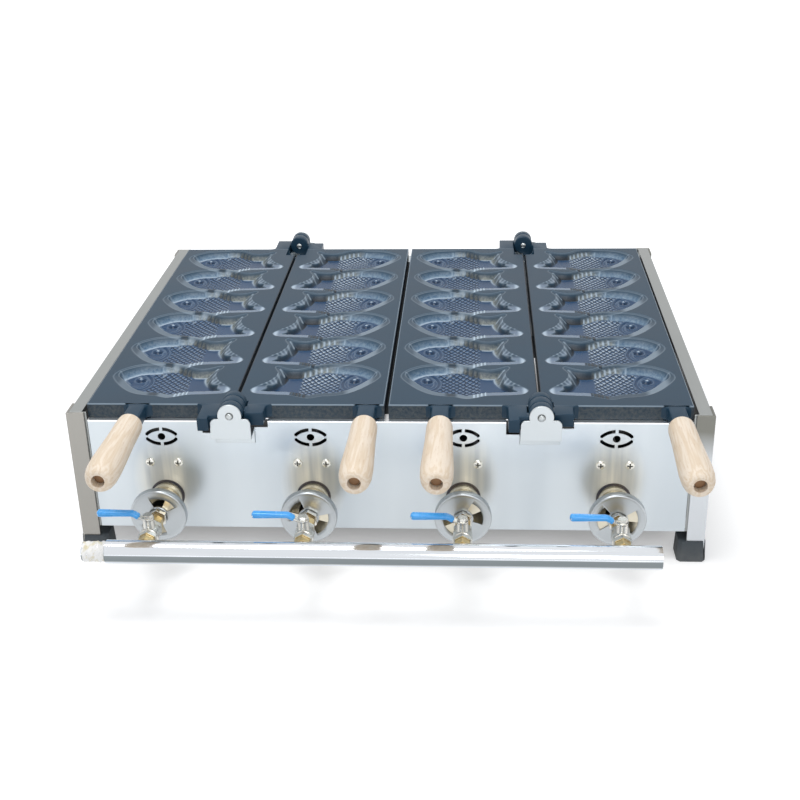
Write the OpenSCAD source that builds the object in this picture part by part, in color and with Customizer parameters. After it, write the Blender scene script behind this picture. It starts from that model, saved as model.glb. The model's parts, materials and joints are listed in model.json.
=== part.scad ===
// Gas taiyaki maker: two pairs of hinged mould plates over four burners in a folded sheet cabinet.
// Millimetres. X to the right, Y to the back, Z up. The origin is the middle of the footprint on the floor.

/* [Mould plates] */
// Length of a mould plate, front to back
plate_l = 578; // [560:1:620]
// Width of a mould plate, hinge side to outer edge
plate_w = 174; // [170:1:190]
// Thickness of a mould plate at its skirt
plate_t = 17.5; // [16:0.5:22]
// Gap between the two halves of an open pair
hinge_gap = 3; // [2:0.5:6]
// Gap between the left pair and the right pair
pair_gap = 5; // [4:0.5:12]
// Width of the skirt around the hollow underside
skirt_w = 8; // [5:0.5:12]
// Depth of the hollow underside
hollow_depth = 8; // [4:0.5:9]

/* [Fish moulds] */
// Number of fish moulds in a plate
fish_n = 6; // [4:1:6]
// Deck beside a fish mould, at its tail and at its nose
fish_side = 9.25; // [8:0.25:16]
// Height of a fish mould across its fins
fish_h = 105; // [90:0.5:110]
// Rim of the first fish from the plate's front edge
fish_front = 16.5; // [10:0.5:24]
// Rim of the last fish from the plate's rear edge
fish_rear = 5; // [4:0.5:16]
// Depth at which the body's own wall starts
band_depth = 3; // [2:0.5:4]
// Depth of the fins and the tail
fin_depth = 6; // [5:0.5:7]
// Depth of the body at its deepest
body_depth = 12.5; // [9:0.5:13.5]
// Thickness of the ribs in the fins and the tail
rib_d = 1.8; // [1:0.1:3]
// Diameter of the eye
eye_d = 10; // [6:0.5:14]

/* [Hinges] */
// Outer diameter of a cast hinge knuckle
knuckle_d = 28; // [24:0.5:32]
// Width of the outer left-hand knuckle at the front and at the rear
outer_knuckle_w = 11.5; // [9:0.5:14]
// Width of the right-hand knuckle at the front
mid_knuckle_w = 14; // [10:0.5:16]
// Width of the left-hand knuckle that reaches into the deck
inner_knuckle_w = 12; // [8:0.5:14]
// Width of the right-hand knuckle at the rear
rear_knuckle_w = 16; // [12:0.5:20]
// Diameter of a hinge pin
pin_d = 7; // [5:0.5:10]
// Diameter of a hinge pin's head
pin_head_d = 10; // [8:0.5:14]
// Side clearance between neighbouring knuckles
knuckle_gap = 0.5; // [0.3:0.1:1]
// Length of the half round trough in both decks before the rear hinge
trough_l = 30; // [16:1:60]
// Width of a hinge bracket
bracket_w = 47; // [42:1:49]
// Thickness of a hinge bracket
bracket_t = 3; // [2:0.5:4]
// Height of the hinge bracket's shelf above the floor
shelf_z = 174; // [172:1:178]
// Height of the bracket's flange on the panel
bracket_flange_h = 19; // [12:1:24]

/* [Handles] */
// Handle of a left-hand plate, from the plate's outer edge
left_handle_inset = 60.5; // [58:0.5:75]
// Handle of a right-hand plate, from the plate's outer edge
right_handle_inset = 20; // [19.5:0.5:21.5]
// Width of the cast handle boss
boss_w = 20; // [18:1:26]
// Length of the cast handle boss in front of the deck
boss_l = 39; // [36:1:50]
// Length of a wooden grip
grip_l = 135; // [110:1:150]
// Diameter of the grip at its thickest
grip_d = 36; // [30:1:36]
// Diameter of the grip where it meets the boss
grip_neck_d = 29; // [26:1:32]
// Diameter of the counterbore in the grip's end
grip_hole_d = 14.5; // [13:0.5:18]
// Depth of the counterbore in the grip's end
grip_hole_depth = 12; // [8:1:30]
// Diameter of the handle rod
rod_d = 8; // [6:0.5:10]

/* [Cabinet] */
// Gap between an outer deck edge and the side wall's flange
wall_gap = 5.1; // [3:0.1:9]
// Height of the side walls above the floor
rail_z = 193; // [190:1:196]
// Width of a side wall's top flange
rail_w = 15.4; // [12:0.2:16]
// Thickness of the cabinet's sheet
sheet_t = 1.5; // [1:0.1:2]
// Width of a side wall's front and rear return
return_w = 21; // [18:0.5:26]
// Height of the panels' lower edge above the floor
panel_z = 39; // [34:1:44]
// Front panel's face in front of the deck edge
front_gap = 8; // [7:0.5:12]
// Rear panel's face behind the deck edge
rear_gap = 20; // [19:0.5:26]
// How far a panel's top flange reaches under the plates
seat_w = 12; // [8:1:16]
// Width of a panel's bottom flange and end flanges
fold_w = 15; // [10:1:20]
// Width of a leg's front face
leg_w = 21.5; // [18:0.5:24]
// Depth of a leg's side face
leg_d = 28; // [20:1:30]
// Thickness of a leg
leg_t = 3; // [2:0.5:4]
// Side of a rubber foot at its top
foot_w = 32; // [28:1:38]
// Height of a rubber foot
foot_h = 27.5; // [20:0.5:32]
// Thickness of rubber under the leg
foot_sole = 4; // [3:0.5:8]
// Width of the centre rail
centre_rail_w = 24; // [16:1:40]
// Height of the centre rail
centre_rail_h = 22; // [12:1:40]

/* [Vents and screws] */
// Height of the vents' middle above the floor
vent_z = 161.5; // [158:0.5:162]
// Width of a vent, corner to corner
vent_w = 38; // [30:1:44]
// Height of a vent
vent_h = 22; // [18:1:26]
// Width of a vent's slots
vent_slot = 3.4; // [2:0.2:4]
// Diameter of a vent's round hole
vent_hole_d = 9; // [6:0.5:10]
// Height of the burner screws above the burner axis
screw_rise = 44.5; // [40:0.5:50]
// Distance between the two burner screws
screw_pitch = 34; // [28:1:40]
// Diameter of a burner screw
screw_d = 5; // [4:0.5:6]

/* [Burners] */
// Height of the burners' axis above the floor
burner_z = 83; // [78:0.5:90]
// Outer diameter of a burner tube
burner_d = 34; // [30:0.5:38]
// Wall of a burner tube
burner_wall = 1.5; // [1:0.1:2.5]
// Rear end of a burner tube before the rear edge of the deck
burner_rear = 44; // [30:1:90]
// Number of flame slots in a burner tube
slot_n = 26; // [8:1:30]
// Width of a flame slot
slot_w = 2.5; // [1:0.1:4]
// Diameter of the hole in the panel around a mixing tube
panel_hole_d = 41; // [40:0.5:44]
// Outer diameter of a mixing tube's neck
neck_d = 33; // [28:0.5:34]
// Bore of a mixing tube
mixer_bore_d = 26; // [20:0.5:28]
// Diameter of the larger ring on a mixing tube
ring_d = 38; // [36:0.5:39]
// Diameter of an air shutter
shutter_d = 66; // [60:1:72]
// Depth of an air shutter's rim
shutter_rim = 9; // [6:0.5:12]
// Thickness of an air shutter's sheet
shutter_t = 1.6; // [1:0.1:2.4]
// Front of an air shutter before the panel's face
shutter_reach = 52; // [46:1:60]
// Turn of each fixed air plate, in degrees
air_turns = [105, 122, -15, -48];
// Turn of each air shutter at rest, in degrees
shutter_turns = [70, 152, 23, -7];

/* [Gas train] */
// Across flats of the lock nuts
lock_nut_af = 20; // [19:0.5:24]
// Thickness of the lock nuts
lock_nut_t = 6; // [4:0.5:8]
// Across flats of the jets' hexagons
jet_af = 17; // [14:0.5:19]
// Length of the jets' hexagons
jet_hex_l = 13; // [10:0.5:16]
// Bore of the jets
jet_bore_d = 2.4; // [1:0.1:3]
// Length of a valve body
valve_l = 30; // [27:0.5:36]
// Diameter of a valve's barrel
valve_d = 22; // [18:0.5:24]
// Across flats of a valve's end hexagons
valve_af = 20; // [18:0.5:22]
// Height of a valve's stem boss above the burner axis
stem_rise = 20; // [18:0.5:24]
// Length of a valve lever from the stem
lever_l = 57; // [45:1:60]
// Width of a valve lever
lever_w = 8; // [6:0.5:10]
// Thickness of a valve lever
lever_t = 2; // [1.5:0.1:2.5]
// Rise of the lever from its hub to its grip
lever_rise = 6; // [4:0.5:9]
// Wall of a lever's vinyl sleeve
sleeve_wall = 1.2; // [0.8:0.1:1.6]
// Length of the inlet nuts between the valves and the pipe
inlet_nut_l = 9; // [8:0.5:12]
// Outer diameter of the gas pipe
pipe_d = 26.9; // [24:0.1:28]
// Wall of the gas pipe
pipe_wall = 2.3; // [1.6:0.1:3]
// How far the gas pipe runs past the outer burners
pipe_past = 36.5; // [28:0.5:50]
// Diameter of the inlet thread
inlet_d = 21; // [19:0.1:22]
// Length of the inlet thread outside the pipe
inlet_l = 27; // [20:1:36]
// Bore of the inlet
inlet_bore_d = 15; // [12:0.5:16]

/* [Clearances] */
// Running clearance around the hinge pins, on the radius
pin_fit = 0.06; // [0.03:0.01:0.1]
// Clearance between pieces that are fixed together
seat_fit = 0.3; // [0.2:0.05:0.5]
// Half the gap between two decks that are closed on each other
half_closed = 0.25; // [0.2:0.05:0.4]

/* [Hidden] */
$fn = 64;

// How far a cut runs past the face it opens
over = 2;
// Clearance of a thread or a slip fit, on the diameter
slip = 0.2;

// Plates and hinges: the hinge axis above the bracket's shelf, and what keeps the swing clear
axis_rise = 26.7;
swing_gap = 1.2;
tab_out = 37;
tab_nose = 5;
tab_lift = 1.2;
notch_side = 39;
notch_drop = 16;
hinge_skirt = 20;
pin_head_h = 3;
inner_knuckle_out = 4;
ear_corner = 6;
rod_hold = 26;

// Heights
axis_z = shelf_z + axis_rise;
deck_z = axis_z - half_closed;
seat_z = deck_z - plate_t - seat_fit;
grip_z = deck_z - plate_t / 2;

// Places along X
hinge_x = pair_gap / 2 + plate_w + hinge_gap / 2;
plate_mid = hinge_gap / 2 + plate_w / 2;
plate_out = hinge_gap / 2 + plate_w;
wall_x = hinge_x + plate_out + wall_gap + rail_w;
half_w = wall_x + leg_t;
panel_half = wall_x - return_w;
fish_l = plate_w - 2 * fish_side;
pipe_l = 2 * (hinge_x + plate_mid + pipe_past);
function side(i) = i % 2 == 0 ? -1 : 1;
function hinge_at(i) = (i < 2 ? -1 : 1) * hinge_x;
function burner_x(i) = hinge_at(i) + side(i) * plate_mid;
left_handle_x = plate_out - left_handle_inset;
right_handle_x = plate_out - right_handle_inset;
function handle_x(i) = side(i) < 0 ? left_handle_x : right_handle_x;

// Places along Y, counted from the front edge of the decks
ear_front = bracket_t + 3 * knuckle_gap + outer_knuckle_w + mid_knuckle_w + inner_knuckle_out;
bracket_reach = ear_front - front_gap;
knuckle_a = -ear_front + bracket_t + knuckle_gap;
knuckle_b = knuckle_a + outer_knuckle_w + knuckle_gap;
knuckle_c = knuckle_b + mid_knuckle_w + knuckle_gap;
rear_face = plate_l + rear_gap;
ear_rear = rear_face + bracket_reach;
knuckle_e = ear_rear - bracket_t - knuckle_gap - outer_knuckle_w;
knuckle_f = knuckle_e - knuckle_gap - rear_knuckle_w;
deck_y = (boss_l + seat_fit + grip_l - ear_rear - pin_head_h) / 2;

// Gas train, from the air shutter forward to the pipe
hub_d = 16;
jet_d = 10;
jet_neck_l = 5;
stem_d = 6;
stem_nut_af = 10;
stem_nut_h = 4;
shutter_y = -front_gap - shutter_reach;
air_plate_y = shutter_y + shutter_t + seat_fit;
lock_nut_y = shutter_y - seat_fit - lock_nut_t;
jet_y = lock_nut_y - seat_fit - jet_neck_l - jet_hex_l;
valve_y = jet_y - seat_fit - valve_l;
stem_y = valve_y + valve_l / 2;
inlet_nut_y = valve_y - seat_fit - inlet_nut_l;
pipe_y = inlet_nut_y - seat_fit - pipe_d / 2;
lever_z = burner_z + stem_rise + seat_fit;

// Colours
steel = "#c9ced4";
rail_grey = "#a3a8ac";
coated = "#39424e";
beech = "#e3cfb2";
rubber_grey = "#454b50";
brass = "#c69c5d";
nickel = "#d5d7d6";
vinyl_blue = "#3296e8";

// Puts a piece whose Y starts at the decks' front edge into the model's own frame
module on_deck() translate([0, deck_y, 0]) children();

// Repeats a piece at each burner, counting from the left
module at_burners() for (i = [0 : 3]) translate([burner_x(i), 0, burner_z]) children();

// A box between two corners
module span(a, b) translate(a) cube(b - a);

// A round bar along +Y from y
module rod_y(x, y, z, d, l) translate([x, y, z]) rotate([-90, 0, 0]) cylinder(d = d, h = l);

// A hexagon bar along +Y from y, with a corner on top
module hex_y(y, af, l) translate([0, y, 0]) rotate([-90, 30, 0]) cylinder(d = af / cos(30), h = l, $fn = 6);

// A turned piece along Y: its profile's points are [radius, y]
module turned_y(profile) rotate([90, 0, 0]) rotate_extrude() polygon([for (p = profile) [p[0], -p[1]]]);

// Two opposite openings in a disc between two radii, seen from the front, from y backward
module openings(y, depth, turn) {
    r1 = hub_d / 2 + opening_land;
    r2 = shutter_d / 2 - shutter_t - opening_land;
    for (t = [turn, turn + 180]) translate([0, y + depth, 0]) rotate([90, 0, 0]) rotate(t - opening_angle / 2)
        rotate_extrude(angle = opening_angle) translate([r1, 0]) square([r2 - r1, depth]);
}
opening_angle = 82;
opening_land = 4;

// Outline of a fish mould's rim, as shares of fish_l from the tail and of fish_h from the belly fin
rim_shares = [[0, 0.262], [0.026, 0.157], [0.084, 0.124], [0.219, 0.105], [0.334, 0.095], [0.412, 0.029],
              [0.489, 0], [0.566, 0.067], [0.65, 0.076], [0.752, 0.119], [0.849, 0.243], [0.932, 0.414],
              [0.99, 0.567], [1, 0.652], [0.977, 0.767], [0.926, 0.862], [0.836, 0.957], [0.688, 0.995],
              [0.54, 1], [0.444, 0.957], [0.379, 0.852], [0.302, 0.814], [0.225, 0.862], [0.161, 0.938],
              [0.129, 0.881], [0.19, 0.7], [0.141, 0.49], [0.071, 0.376]];
// Outline of the deep body inside it
body_shares = [[0.354, 0.471], [0.392, 0.271], [0.476, 0.167], [0.604, 0.138], [0.733, 0.186], [0.842, 0.319],
               [0.92, 0.49], [0.945, 0.624], [0.907, 0.776], [0.817, 0.89], [0.701, 0.938], [0.592, 0.895],
               [0.489, 0.79], [0.392, 0.671]];
// Both ends and the height of the ridge line that the outlines close in on
ridge_shares = [0.3, 0.76, 0.53];
// How far the rim has closed in at the depth of the fins
rim_close_share = 0.2;
// How far the body's rings close in, each with its share of the way down from the fins
body_ring_shares = [[0.2, 0.62], [0.5, 0.93], [0.8, 1]];
// Ribs on the floor of the tail and the two fins, each from one place to another
rib_shares = [[[0.115, 0.35], [0.25, 0.4]], [[0.155, 0.43], [0.265, 0.455]], [[0.19, 0.52], [0.275, 0.51]],
              [[0.215, 0.62], [0.28, 0.565]], [[0.195, 0.78], [0.285, 0.62]],
              [[0.425, 0.73], [0.41, 0.8]], [[0.465, 0.78], [0.455, 0.84]], [[0.51, 0.82], [0.505, 0.87]],
              [[0.39, 0.26], [0.39, 0.19]], [[0.42, 0.235], [0.425, 0.165]], [[0.46, 0.2], [0.465, 0.145]]];
// Place of the eye, and how far it stands up from the floor
eye_shares = [0.775, 0.62];
eye_rise = 2.2;

// Cuts each corner of a closed outline, which rounds it
cut_shares = [0.25, 0.75];
function rounded(p) = [for (i = [0 : len(p) - 1], t = cut_shares)
    p[i] + t * (p[(i + 1) % len(p)] - p[i])];

// A ring of a loft: the outline drawn in by a share towards the ridge line, at a depth
function ring(outline, share, depth) = [for (p = outline)
    let (foot = [min(max(p[0], ridge_shares[0]), ridge_shares[1]), ridge_shares[2]],
         q = p + share * (foot - p))
    [q[0] * fish_l, q[1] * fish_h, -depth]];

// A solid through rings of equal counts, the highest ring first
module loft(rings) {
    n = len(rings[0]);
    m = len(rings);
    polyhedron(
        points = [for (r = rings) each r],
        faces = concat(
            [[for (i = [n - 1 : -1 : 0]) i]],
            [for (k = [0 : m - 2], i = [0 : n - 1])
                [k * n + i, k * n + (i + 1) % n, (k + 1) * n + (i + 1) % n, (k + 1) * n + i]],
            [[for (i = [0 : n - 1]) (m - 1) * n + i]]),
        convexity = 6);
}

// What a fish mould takes out of the deck: the whole fish down to its fins, and the deep body in it
module fish_recess() {
    rim = rounded(rim_shares);
    body = rounded(body_shares);
    loft([ring(rim, 0, -over), ring(rim, 0, 0), ring(rim, rim_close_share, fin_depth)]);
    loft([ring(body, 0, band_depth),
          for (s = body_ring_shares) ring(body, s[0], fin_depth + s[1] * (body_depth - fin_depth))]);
}

// What stands up from a mould's floor: the ribs of the tail and the fins, and the eye
module fish_relief() {
    for (s = rib_shares) {
        a = [s[0][0] * fish_l, s[0][1] * fish_h];
        run = [s[1][0] * fish_l, s[1][1] * fish_h] - a;
        translate([a[0], a[1], -fin_depth]) rotate([0, 0, atan2(run[1], run[0])]) rotate([0, 90, 0])
            cylinder(d = rib_d, h = norm(run), $fn = 24);
    }
    translate([eye_shares[0] * fish_l, eye_shares[1] * fish_h, -body_depth - eye_rise])
        cylinder(d = eye_d, h = 2 * eye_rise);
}

// Corner of fish k in the plate's own frame, whose X runs outward from the hinge line
fish_x = hinge_gap / 2 + fish_side;
fish_pitch = (plate_l - fish_front - fish_rear - fish_h) / (fish_n - 1);
module at_fish() for (k = [0 : fish_n - 1]) translate([fish_x, fish_front + k * fish_pitch, 0]) children();

// Thick places under the deep bodies, which stay when the underside is hollowed
pad_share = -0.12;
module body_pad() translate([0, 0, -plate_t - over]) linear_extrude(plate_t)
    polygon([for (p = ring(rounded(body_shares), pad_share, 0)) [p[0], p[1]]]);

// The slab of a plate with its hollow underside and its trough before the rear hinge
module plate_slab() difference() {
    span([hinge_gap / 2, 0, -plate_t], [hinge_gap / 2 + plate_w, plate_l, 0]);
    difference() {
        span([hinge_gap / 2 + hinge_skirt, skirt_w, -plate_t - over],
             [hinge_gap / 2 + plate_w - skirt_w, plate_l - skirt_w, -plate_t + hollow_depth]);
        at_fish() body_pad();
    }
    rod_y(0, plate_l - trough_l, half_closed, knuckle_d + 2 * swing_gap, trough_l + over);
}

// A knuckle from y with its arm to the tab
module knuckle(y, w) {
    rod_y(0, y, half_closed, knuckle_d, w);
    span([0, y, tab_lift - plate_t], [knuckle_d / 2 + swing_gap + over, y + w, 0]);
}

// A tab beside the knuckles, between two places along Y
module tab(x, y1, y2) span([x, y1, tab_lift - plate_t], [tab_out, y2, 0]);

// The boss that takes the handle rod: a bar with chamfered edges
module handle_boss(x) {
    w = boss_w / 2;
    h = plate_t / 2;
    c = boss_chamfer_share * boss_w;
    translate([x, over, -h]) rotate([90, 0, 0]) linear_extrude(boss_l + over)
        polygon([[-w, c - h], [c - w, -h], [w - c, -h], [w, c - h],
                 [w, h - c], [w - c, h], [c - w, h], [-w, h - c]]);
}
boss_chamfer_share = 0.17;

// A casting's common cuts: the moulds, the pin bores and the rod's bore
module plate_cuts(x) {
    bore = pin_d + 2 * pin_fit;
    at_fish() fish_recess();
    rod_y(0, -ear_front - over, half_closed, bore, ear_front + knuckle_c + inner_knuckle_w + 2 * over);
    rod_y(0, knuckle_f - over, half_closed, bore, ear_rear - knuckle_f + over);
    rod_y(x, -boss_l - over, -plate_t / 2, rod_d + slip, rod_hold + over);
}

// Left-hand casting: outer knuckles at both ends, and the one that reaches into the other deck
module left_casting() {
    clear_x = knuckle_d / 2 + swing_gap;
    difference() {
        union() {
            plate_slab();
            tab(clear_x, knuckle_a, over);
            tab(bracket_w / 2 + swing_gap, -ear_front - tab_nose, over);
            knuckle(knuckle_a, outer_knuckle_w);
            rod_y(0, knuckle_c, half_closed, knuckle_d, inner_knuckle_w);
            tab(clear_x, plate_l - over, knuckle_e + outer_knuckle_w);
            knuckle(knuckle_e, outer_knuckle_w);
            handle_boss(left_handle_x);
        }
        plate_cuts(left_handle_x);
    }
    at_fish() fish_relief();
}

// Right-hand casting: the knuckles in between, and a notch for the left-hand one in its deck
module right_casting() {
    clear_d = knuckle_d + 2 * swing_gap;
    difference() {
        union() {
            difference() {
                plate_slab();
                rod_y(0, -over, half_closed, clear_d, knuckle_c + inner_knuckle_w + knuckle_gap + over);
            }
            tab(clear_d / 2, knuckle_b - tab_nose, over);
            knuckle(knuckle_b, mid_knuckle_w);
            tab(clear_d / 2, plate_l - over, knuckle_f + rear_knuckle_w);
            knuckle(knuckle_f, rear_knuckle_w);
            handle_boss(right_handle_x);
        }
        plate_cuts(right_handle_x);
    }
    at_fish() fish_relief();
}

module mould_plate(i) color(coated) on_deck() translate([hinge_at(i), 0, deck_z])
    if (side(i) < 0) mirror([1, 0, 0]) left_casting();
    else right_casting();

// A turned beech grip with a counterbore for the rod's head
grip_shares = [[0, 1], [0.04, 1.04], [0.3, 1.08], [0.55, 1.17], [0.75, 1.24], [0.87, 1.22], [0.93, 1.14],
               [0.97, 1.0], [0.99, 0.86]];
grip_tip_share = 0.7;
module grip(i) color(beech) on_deck()
    translate([hinge_at(i) + side(i) * handle_x(i), -boss_l - seat_fit, grip_z]) difference() {
        turned_y([[0, 0], for (s = grip_shares) [min(s[1] * grip_neck_d, grip_d) / 2, -s[0] * grip_l],
                  [grip_neck_d * grip_tip_share / 2, -grip_l], [0, -grip_l]]);
        rod_y(0, -grip_l - over, 0, rod_d + slip, grip_l + 2 * over);
        rod_y(0, -grip_l - over, 0, grip_hole_d, grip_hole_depth + over);
    }

// The rod that holds a grip on its boss, with a head in the grip's counterbore
rod_head_h = 4;
rod_head_gap = 1.5;
module handle_rod(i) color(steel) on_deck() translate([hinge_at(i) + side(i) * handle_x(i), 0, grip_z]) {
    back = -boss_l + rod_hold - over;
    front = -boss_l - seat_fit - grip_l + grip_hole_depth;
    rod_y(0, front, 0, rod_d, back - front);
    rod_y(0, front - rod_head_h, 0, grip_hole_d - 2 * rod_head_gap, rod_head_h);
}

// A hinge bracket folded from thick sheet: flange on the panel, shelf, and the ear that holds the pin.
// Its own Y starts at the panel's face and runs backward into the cabinet.
module bracket_shape() difference() {
    w = bracket_w / 2;
    ear_top = axis_z - bracket_shoulder;
    union() {
        span([-w, -bracket_t, shelf_z - bracket_flange_h], [w, 0, shelf_z]);
        span([-w, -bracket_reach, shelf_z - bracket_t], [w, 0, shelf_z]);
        span([-w, -bracket_reach, shelf_z - bracket_t], [w, bracket_t - bracket_reach, ear_top - ear_corner]);
        span([ear_corner - w, -bracket_reach, shelf_z], [w - ear_corner, bracket_t - bracket_reach, ear_top]);
        for (x = [ear_corner - w, w - ear_corner])
            rod_y(x, -bracket_reach, ear_top - ear_corner, 2 * ear_corner, bracket_t);
        rod_y(0, -bracket_reach, axis_z, knuckle_d, bracket_t);
    }
    rod_y(0, -bracket_reach - over, axis_z, pin_d + 2 * pin_fit, bracket_t + 2 * over);
}
bracket_shoulder = 4;
module hinge_bracket_front(p) color(steel) on_deck() translate([hinge_at(2 * p), -front_gap, 0])
    bracket_shape();
module hinge_bracket_rear(p) color(steel) on_deck() translate([hinge_at(2 * p), rear_face, 0])
    mirror([0, 1, 0]) bracket_shape();

// The four hinge pins, each with a head outside its bracket's ear
module hinge_pins() color(nickel) on_deck() for (i = [0, 2]) {
    rod_y(hinge_at(i), -ear_front - pin_head_h, axis_z, pin_head_d, pin_head_h);
    rod_y(hinge_at(i), -ear_front - over, axis_z, pin_d, ear_front + knuckle_c + inner_knuckle_w + over);
    rod_y(hinge_at(i), ear_rear, axis_z, pin_head_d, pin_head_h);
    rod_y(hinge_at(i), knuckle_f, axis_z, pin_d, ear_rear - knuckle_f + over);
}

// A side wall: one folded sheet with a top flange, its lip, a bottom flange and returns at both ends
rail_lip = 9;
module side_wall(s) color(rail_grey) on_deck() mirror([s < 0 ? 1 : 0, 0, 0]) {
    y1 = -front_gap;
    y2 = rear_face;
    span([wall_x - sheet_t, y1, panel_z], [wall_x, y2, rail_z]);
    span([wall_x - rail_w, y1, rail_z - sheet_t], [wall_x, y2, rail_z]);
    span([wall_x - rail_w, y1, rail_z - rail_lip], [wall_x - rail_w + sheet_t, y2, rail_z]);
    span([wall_x - fold_w, y1, panel_z], [wall_x, y2, panel_z + sheet_t]);
    span([panel_half + seat_fit, y1, panel_z], [wall_x, y1 + sheet_t, rail_z]);
    span([panel_half + seat_fit, y2 - sheet_t, panel_z], [wall_x, y2, rail_z]);
}

// A panel between the side walls, in its own frame: Y from its outer face inward, flanges folded inward
module panel_shape(flange) {
    w = panel_half;
    span([-w, 0, panel_z], [w, sheet_t, seat_z]);
    span([-w, 0, seat_z - sheet_t], [w, flange, seat_z]);
    span([-w, 0, panel_z], [w, fold_w, panel_z + sheet_t]);
    for (x = [-w, w - sheet_t]) span([x, 0, panel_z], [x + sheet_t, fold_w, seat_z]);
}

// A vent shaped like an eye: four slots in the lens of two arcs, around a round hole
module vent_cut() rotate([90, 0, 0]) translate([0, 0, -sheet_t - over]) linear_extrude(sheet_t + 2 * over) {
    r = (pow(vent_w / 2, 2) + pow(vent_h / 2, 2)) / vent_h;
    drop = r - vent_h / 2;
    difference() {
        intersection_for (s = [-1, 1]) translate([0, s * drop]) circle(r, $fn = 96);
        intersection_for (s = [-1, 1]) translate([0, s * drop]) circle(r - vent_slot, $fn = 96);
        square([vent_bridge, vent_h], center = true);
        for (s = [-1, 1]) translate([s * vent_w / 2, 0]) square([2 * vent_bridge, vent_h], center = true);
    }
    circle(d = vent_hole_d);
}
vent_bridge = 3;

// The front panel, with a notch behind each hinge
module front_panel() color(steel) on_deck() difference() {
    translate([0, -front_gap, 0]) panel_shape(front_gap + seat_w);
    for (i = [0, 2]) translate([hinge_at(i), -front_gap - over, 0]) {
        span([-notch_side, 0, seat_z - notch_drop], [notch_side / 2, front_gap + over, seat_z + over]);
        span([-notch_side, 0, seat_z - notch_drop / 2], [notch_side, front_gap + over, seat_z + over]);
    }
    at_burners() {
        rod_y(0, -front_gap - over, 0, panel_hole_d, sheet_t + 2 * over);
        translate([0, -front_gap, vent_z - burner_z]) vent_cut();
        for (s = [-1, 1])
            rod_y(s * screw_pitch / 2, -front_gap - over, screw_rise, screw_d + slip, sheet_t + 2 * over);
    }
}

module rear_panel() color(steel) on_deck() translate([0, rear_face, 0]) mirror([0, 1, 0])
    panel_shape(rear_gap + seat_w);

// The rail under the joint of the two pairs: a channel whose webs run on under the panels' flanges
module centre_rail() color(rail_grey) on_deck() {
    w = centre_rail_w / 2;
    z = seat_z - sheet_t;
    span([-w, seat_w + seat_fit, z], [w, plate_l - seat_w - seat_fit, seat_z]);
    for (x = [-w, w - sheet_t])
        span([x, sheet_t - front_gap, seat_z - centre_rail_h], [x + sheet_t, rear_face - sheet_t, z]);
}

// A leg: a folded angle outside the corner, from its foot to the rail's height
module leg(s, rear) color(rail_grey) on_deck() mirror([s < 0 ? 1 : 0, 0, 0])
    translate([0, rear ? rear_face : -front_gap, 0]) mirror([0, rear ? 1 : 0, 0]) {
        span([half_w - leg_w, -leg_t, foot_sole], [half_w, 0, rail_z]);
        span([wall_x, -leg_t, foot_sole], [half_w, leg_d - leg_t, rail_z]);
    }

// A rubber foot: a block that flares to the floor, with a slot for the leg's angle
foot_skin = 1.5;
foot_flare = 1;
foot_edge = 4;
module foot_slab(grow, z) {
    w = foot_w + 2 * grow;
    translate([foot_w / 2, foot_w / 2, z]) linear_extrude(foot_edge) polygon([for (q = [0 : 3], e = [-1, 1])
        [cos(90 * q) * w / 2 - sin(90 * q) * e * (w / 2 - foot_edge),
         sin(90 * q) * w / 2 + cos(90 * q) * e * (w / 2 - foot_edge)]]);
}
module rubber_foot() translate([half_w + foot_skin, -leg_t - foot_skin, 0]) mirror([1, 0, 0]) difference() {
    hull() {
        foot_slab(foot_flare, 0);
        foot_slab(0, foot_h - foot_edge);
    }
    translate([foot_skin - seat_fit, foot_skin - seat_fit, foot_sole]) {
        cube([leg_w + 2 * seat_fit, leg_t + 2 * seat_fit, foot_h]);
        cube([leg_t + 2 * seat_fit, leg_d + 2 * seat_fit, foot_h]);
    }
}
module rubber_feet() color(rubber_grey) on_deck() for (s = [0, 1], rear = [0, 1])
    mirror([s, 0, 0]) translate([0, rear ? rear_face : -front_gap, 0]) mirror([0, rear, 0]) rubber_foot();

// A burner: a closed tube with flame slots on top and a plate that is screwed behind the front panel
mount_t = 2;
mount_drop = 22;
slot_depth = 3;
module burner_tube(i) color(rail_grey) on_deck() translate([burner_x(i), 0, burner_z]) {
    y1 = sheet_t + seat_fit - front_gap;
    y2 = plate_l - burner_rear;
    first = mixer_in + slot_depth;
    pitch = (y2 - first - slot_depth) / slot_n;
    difference() {
        union() {
            rod_y(0, y1, 0, burner_d, y2 - y1);
            span([-screw_pitch, y1, -mount_drop], [screw_pitch, y1 + mount_t, screw_rise + mount_drop / 2]);
        }
        rod_y(0, y1 - over, 0, burner_d - 2 * burner_wall, y2 - y1 - burner_wall + over);
        for (k = [0 : slot_n - 1]) translate([0, first + k * pitch, burner_d / 2])
            cube([burner_d, slot_w, 2 * slot_depth], center = true);
        for (s = [-1, 1])
            rod_y(s * screw_pitch / 2, y1 - over, screw_rise, screw_d + slip, mount_t + 2 * over);
    }
}

// A bar across the cabinet with a saddle for each burner tube
rest_w = 18;
rest_drop = 38;
rest_back = 30;
module burner_rest() color(rail_grey) on_deck() {
    x = wall_x - sheet_t - seat_fit;
    y = plate_l - burner_rear - rest_back;
    z = burner_z - rest_drop;
    span([-x, y, z], [x, y + rest_w, z + mount_t]);
    difference() {
        span([-x, y, z], [x, y + mount_t, burner_z - mount_t]);
        at_burners() rod_y(0, y - over, 0, burner_d + 2 * seat_fit, mount_t + 2 * over);
    }
}

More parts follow.
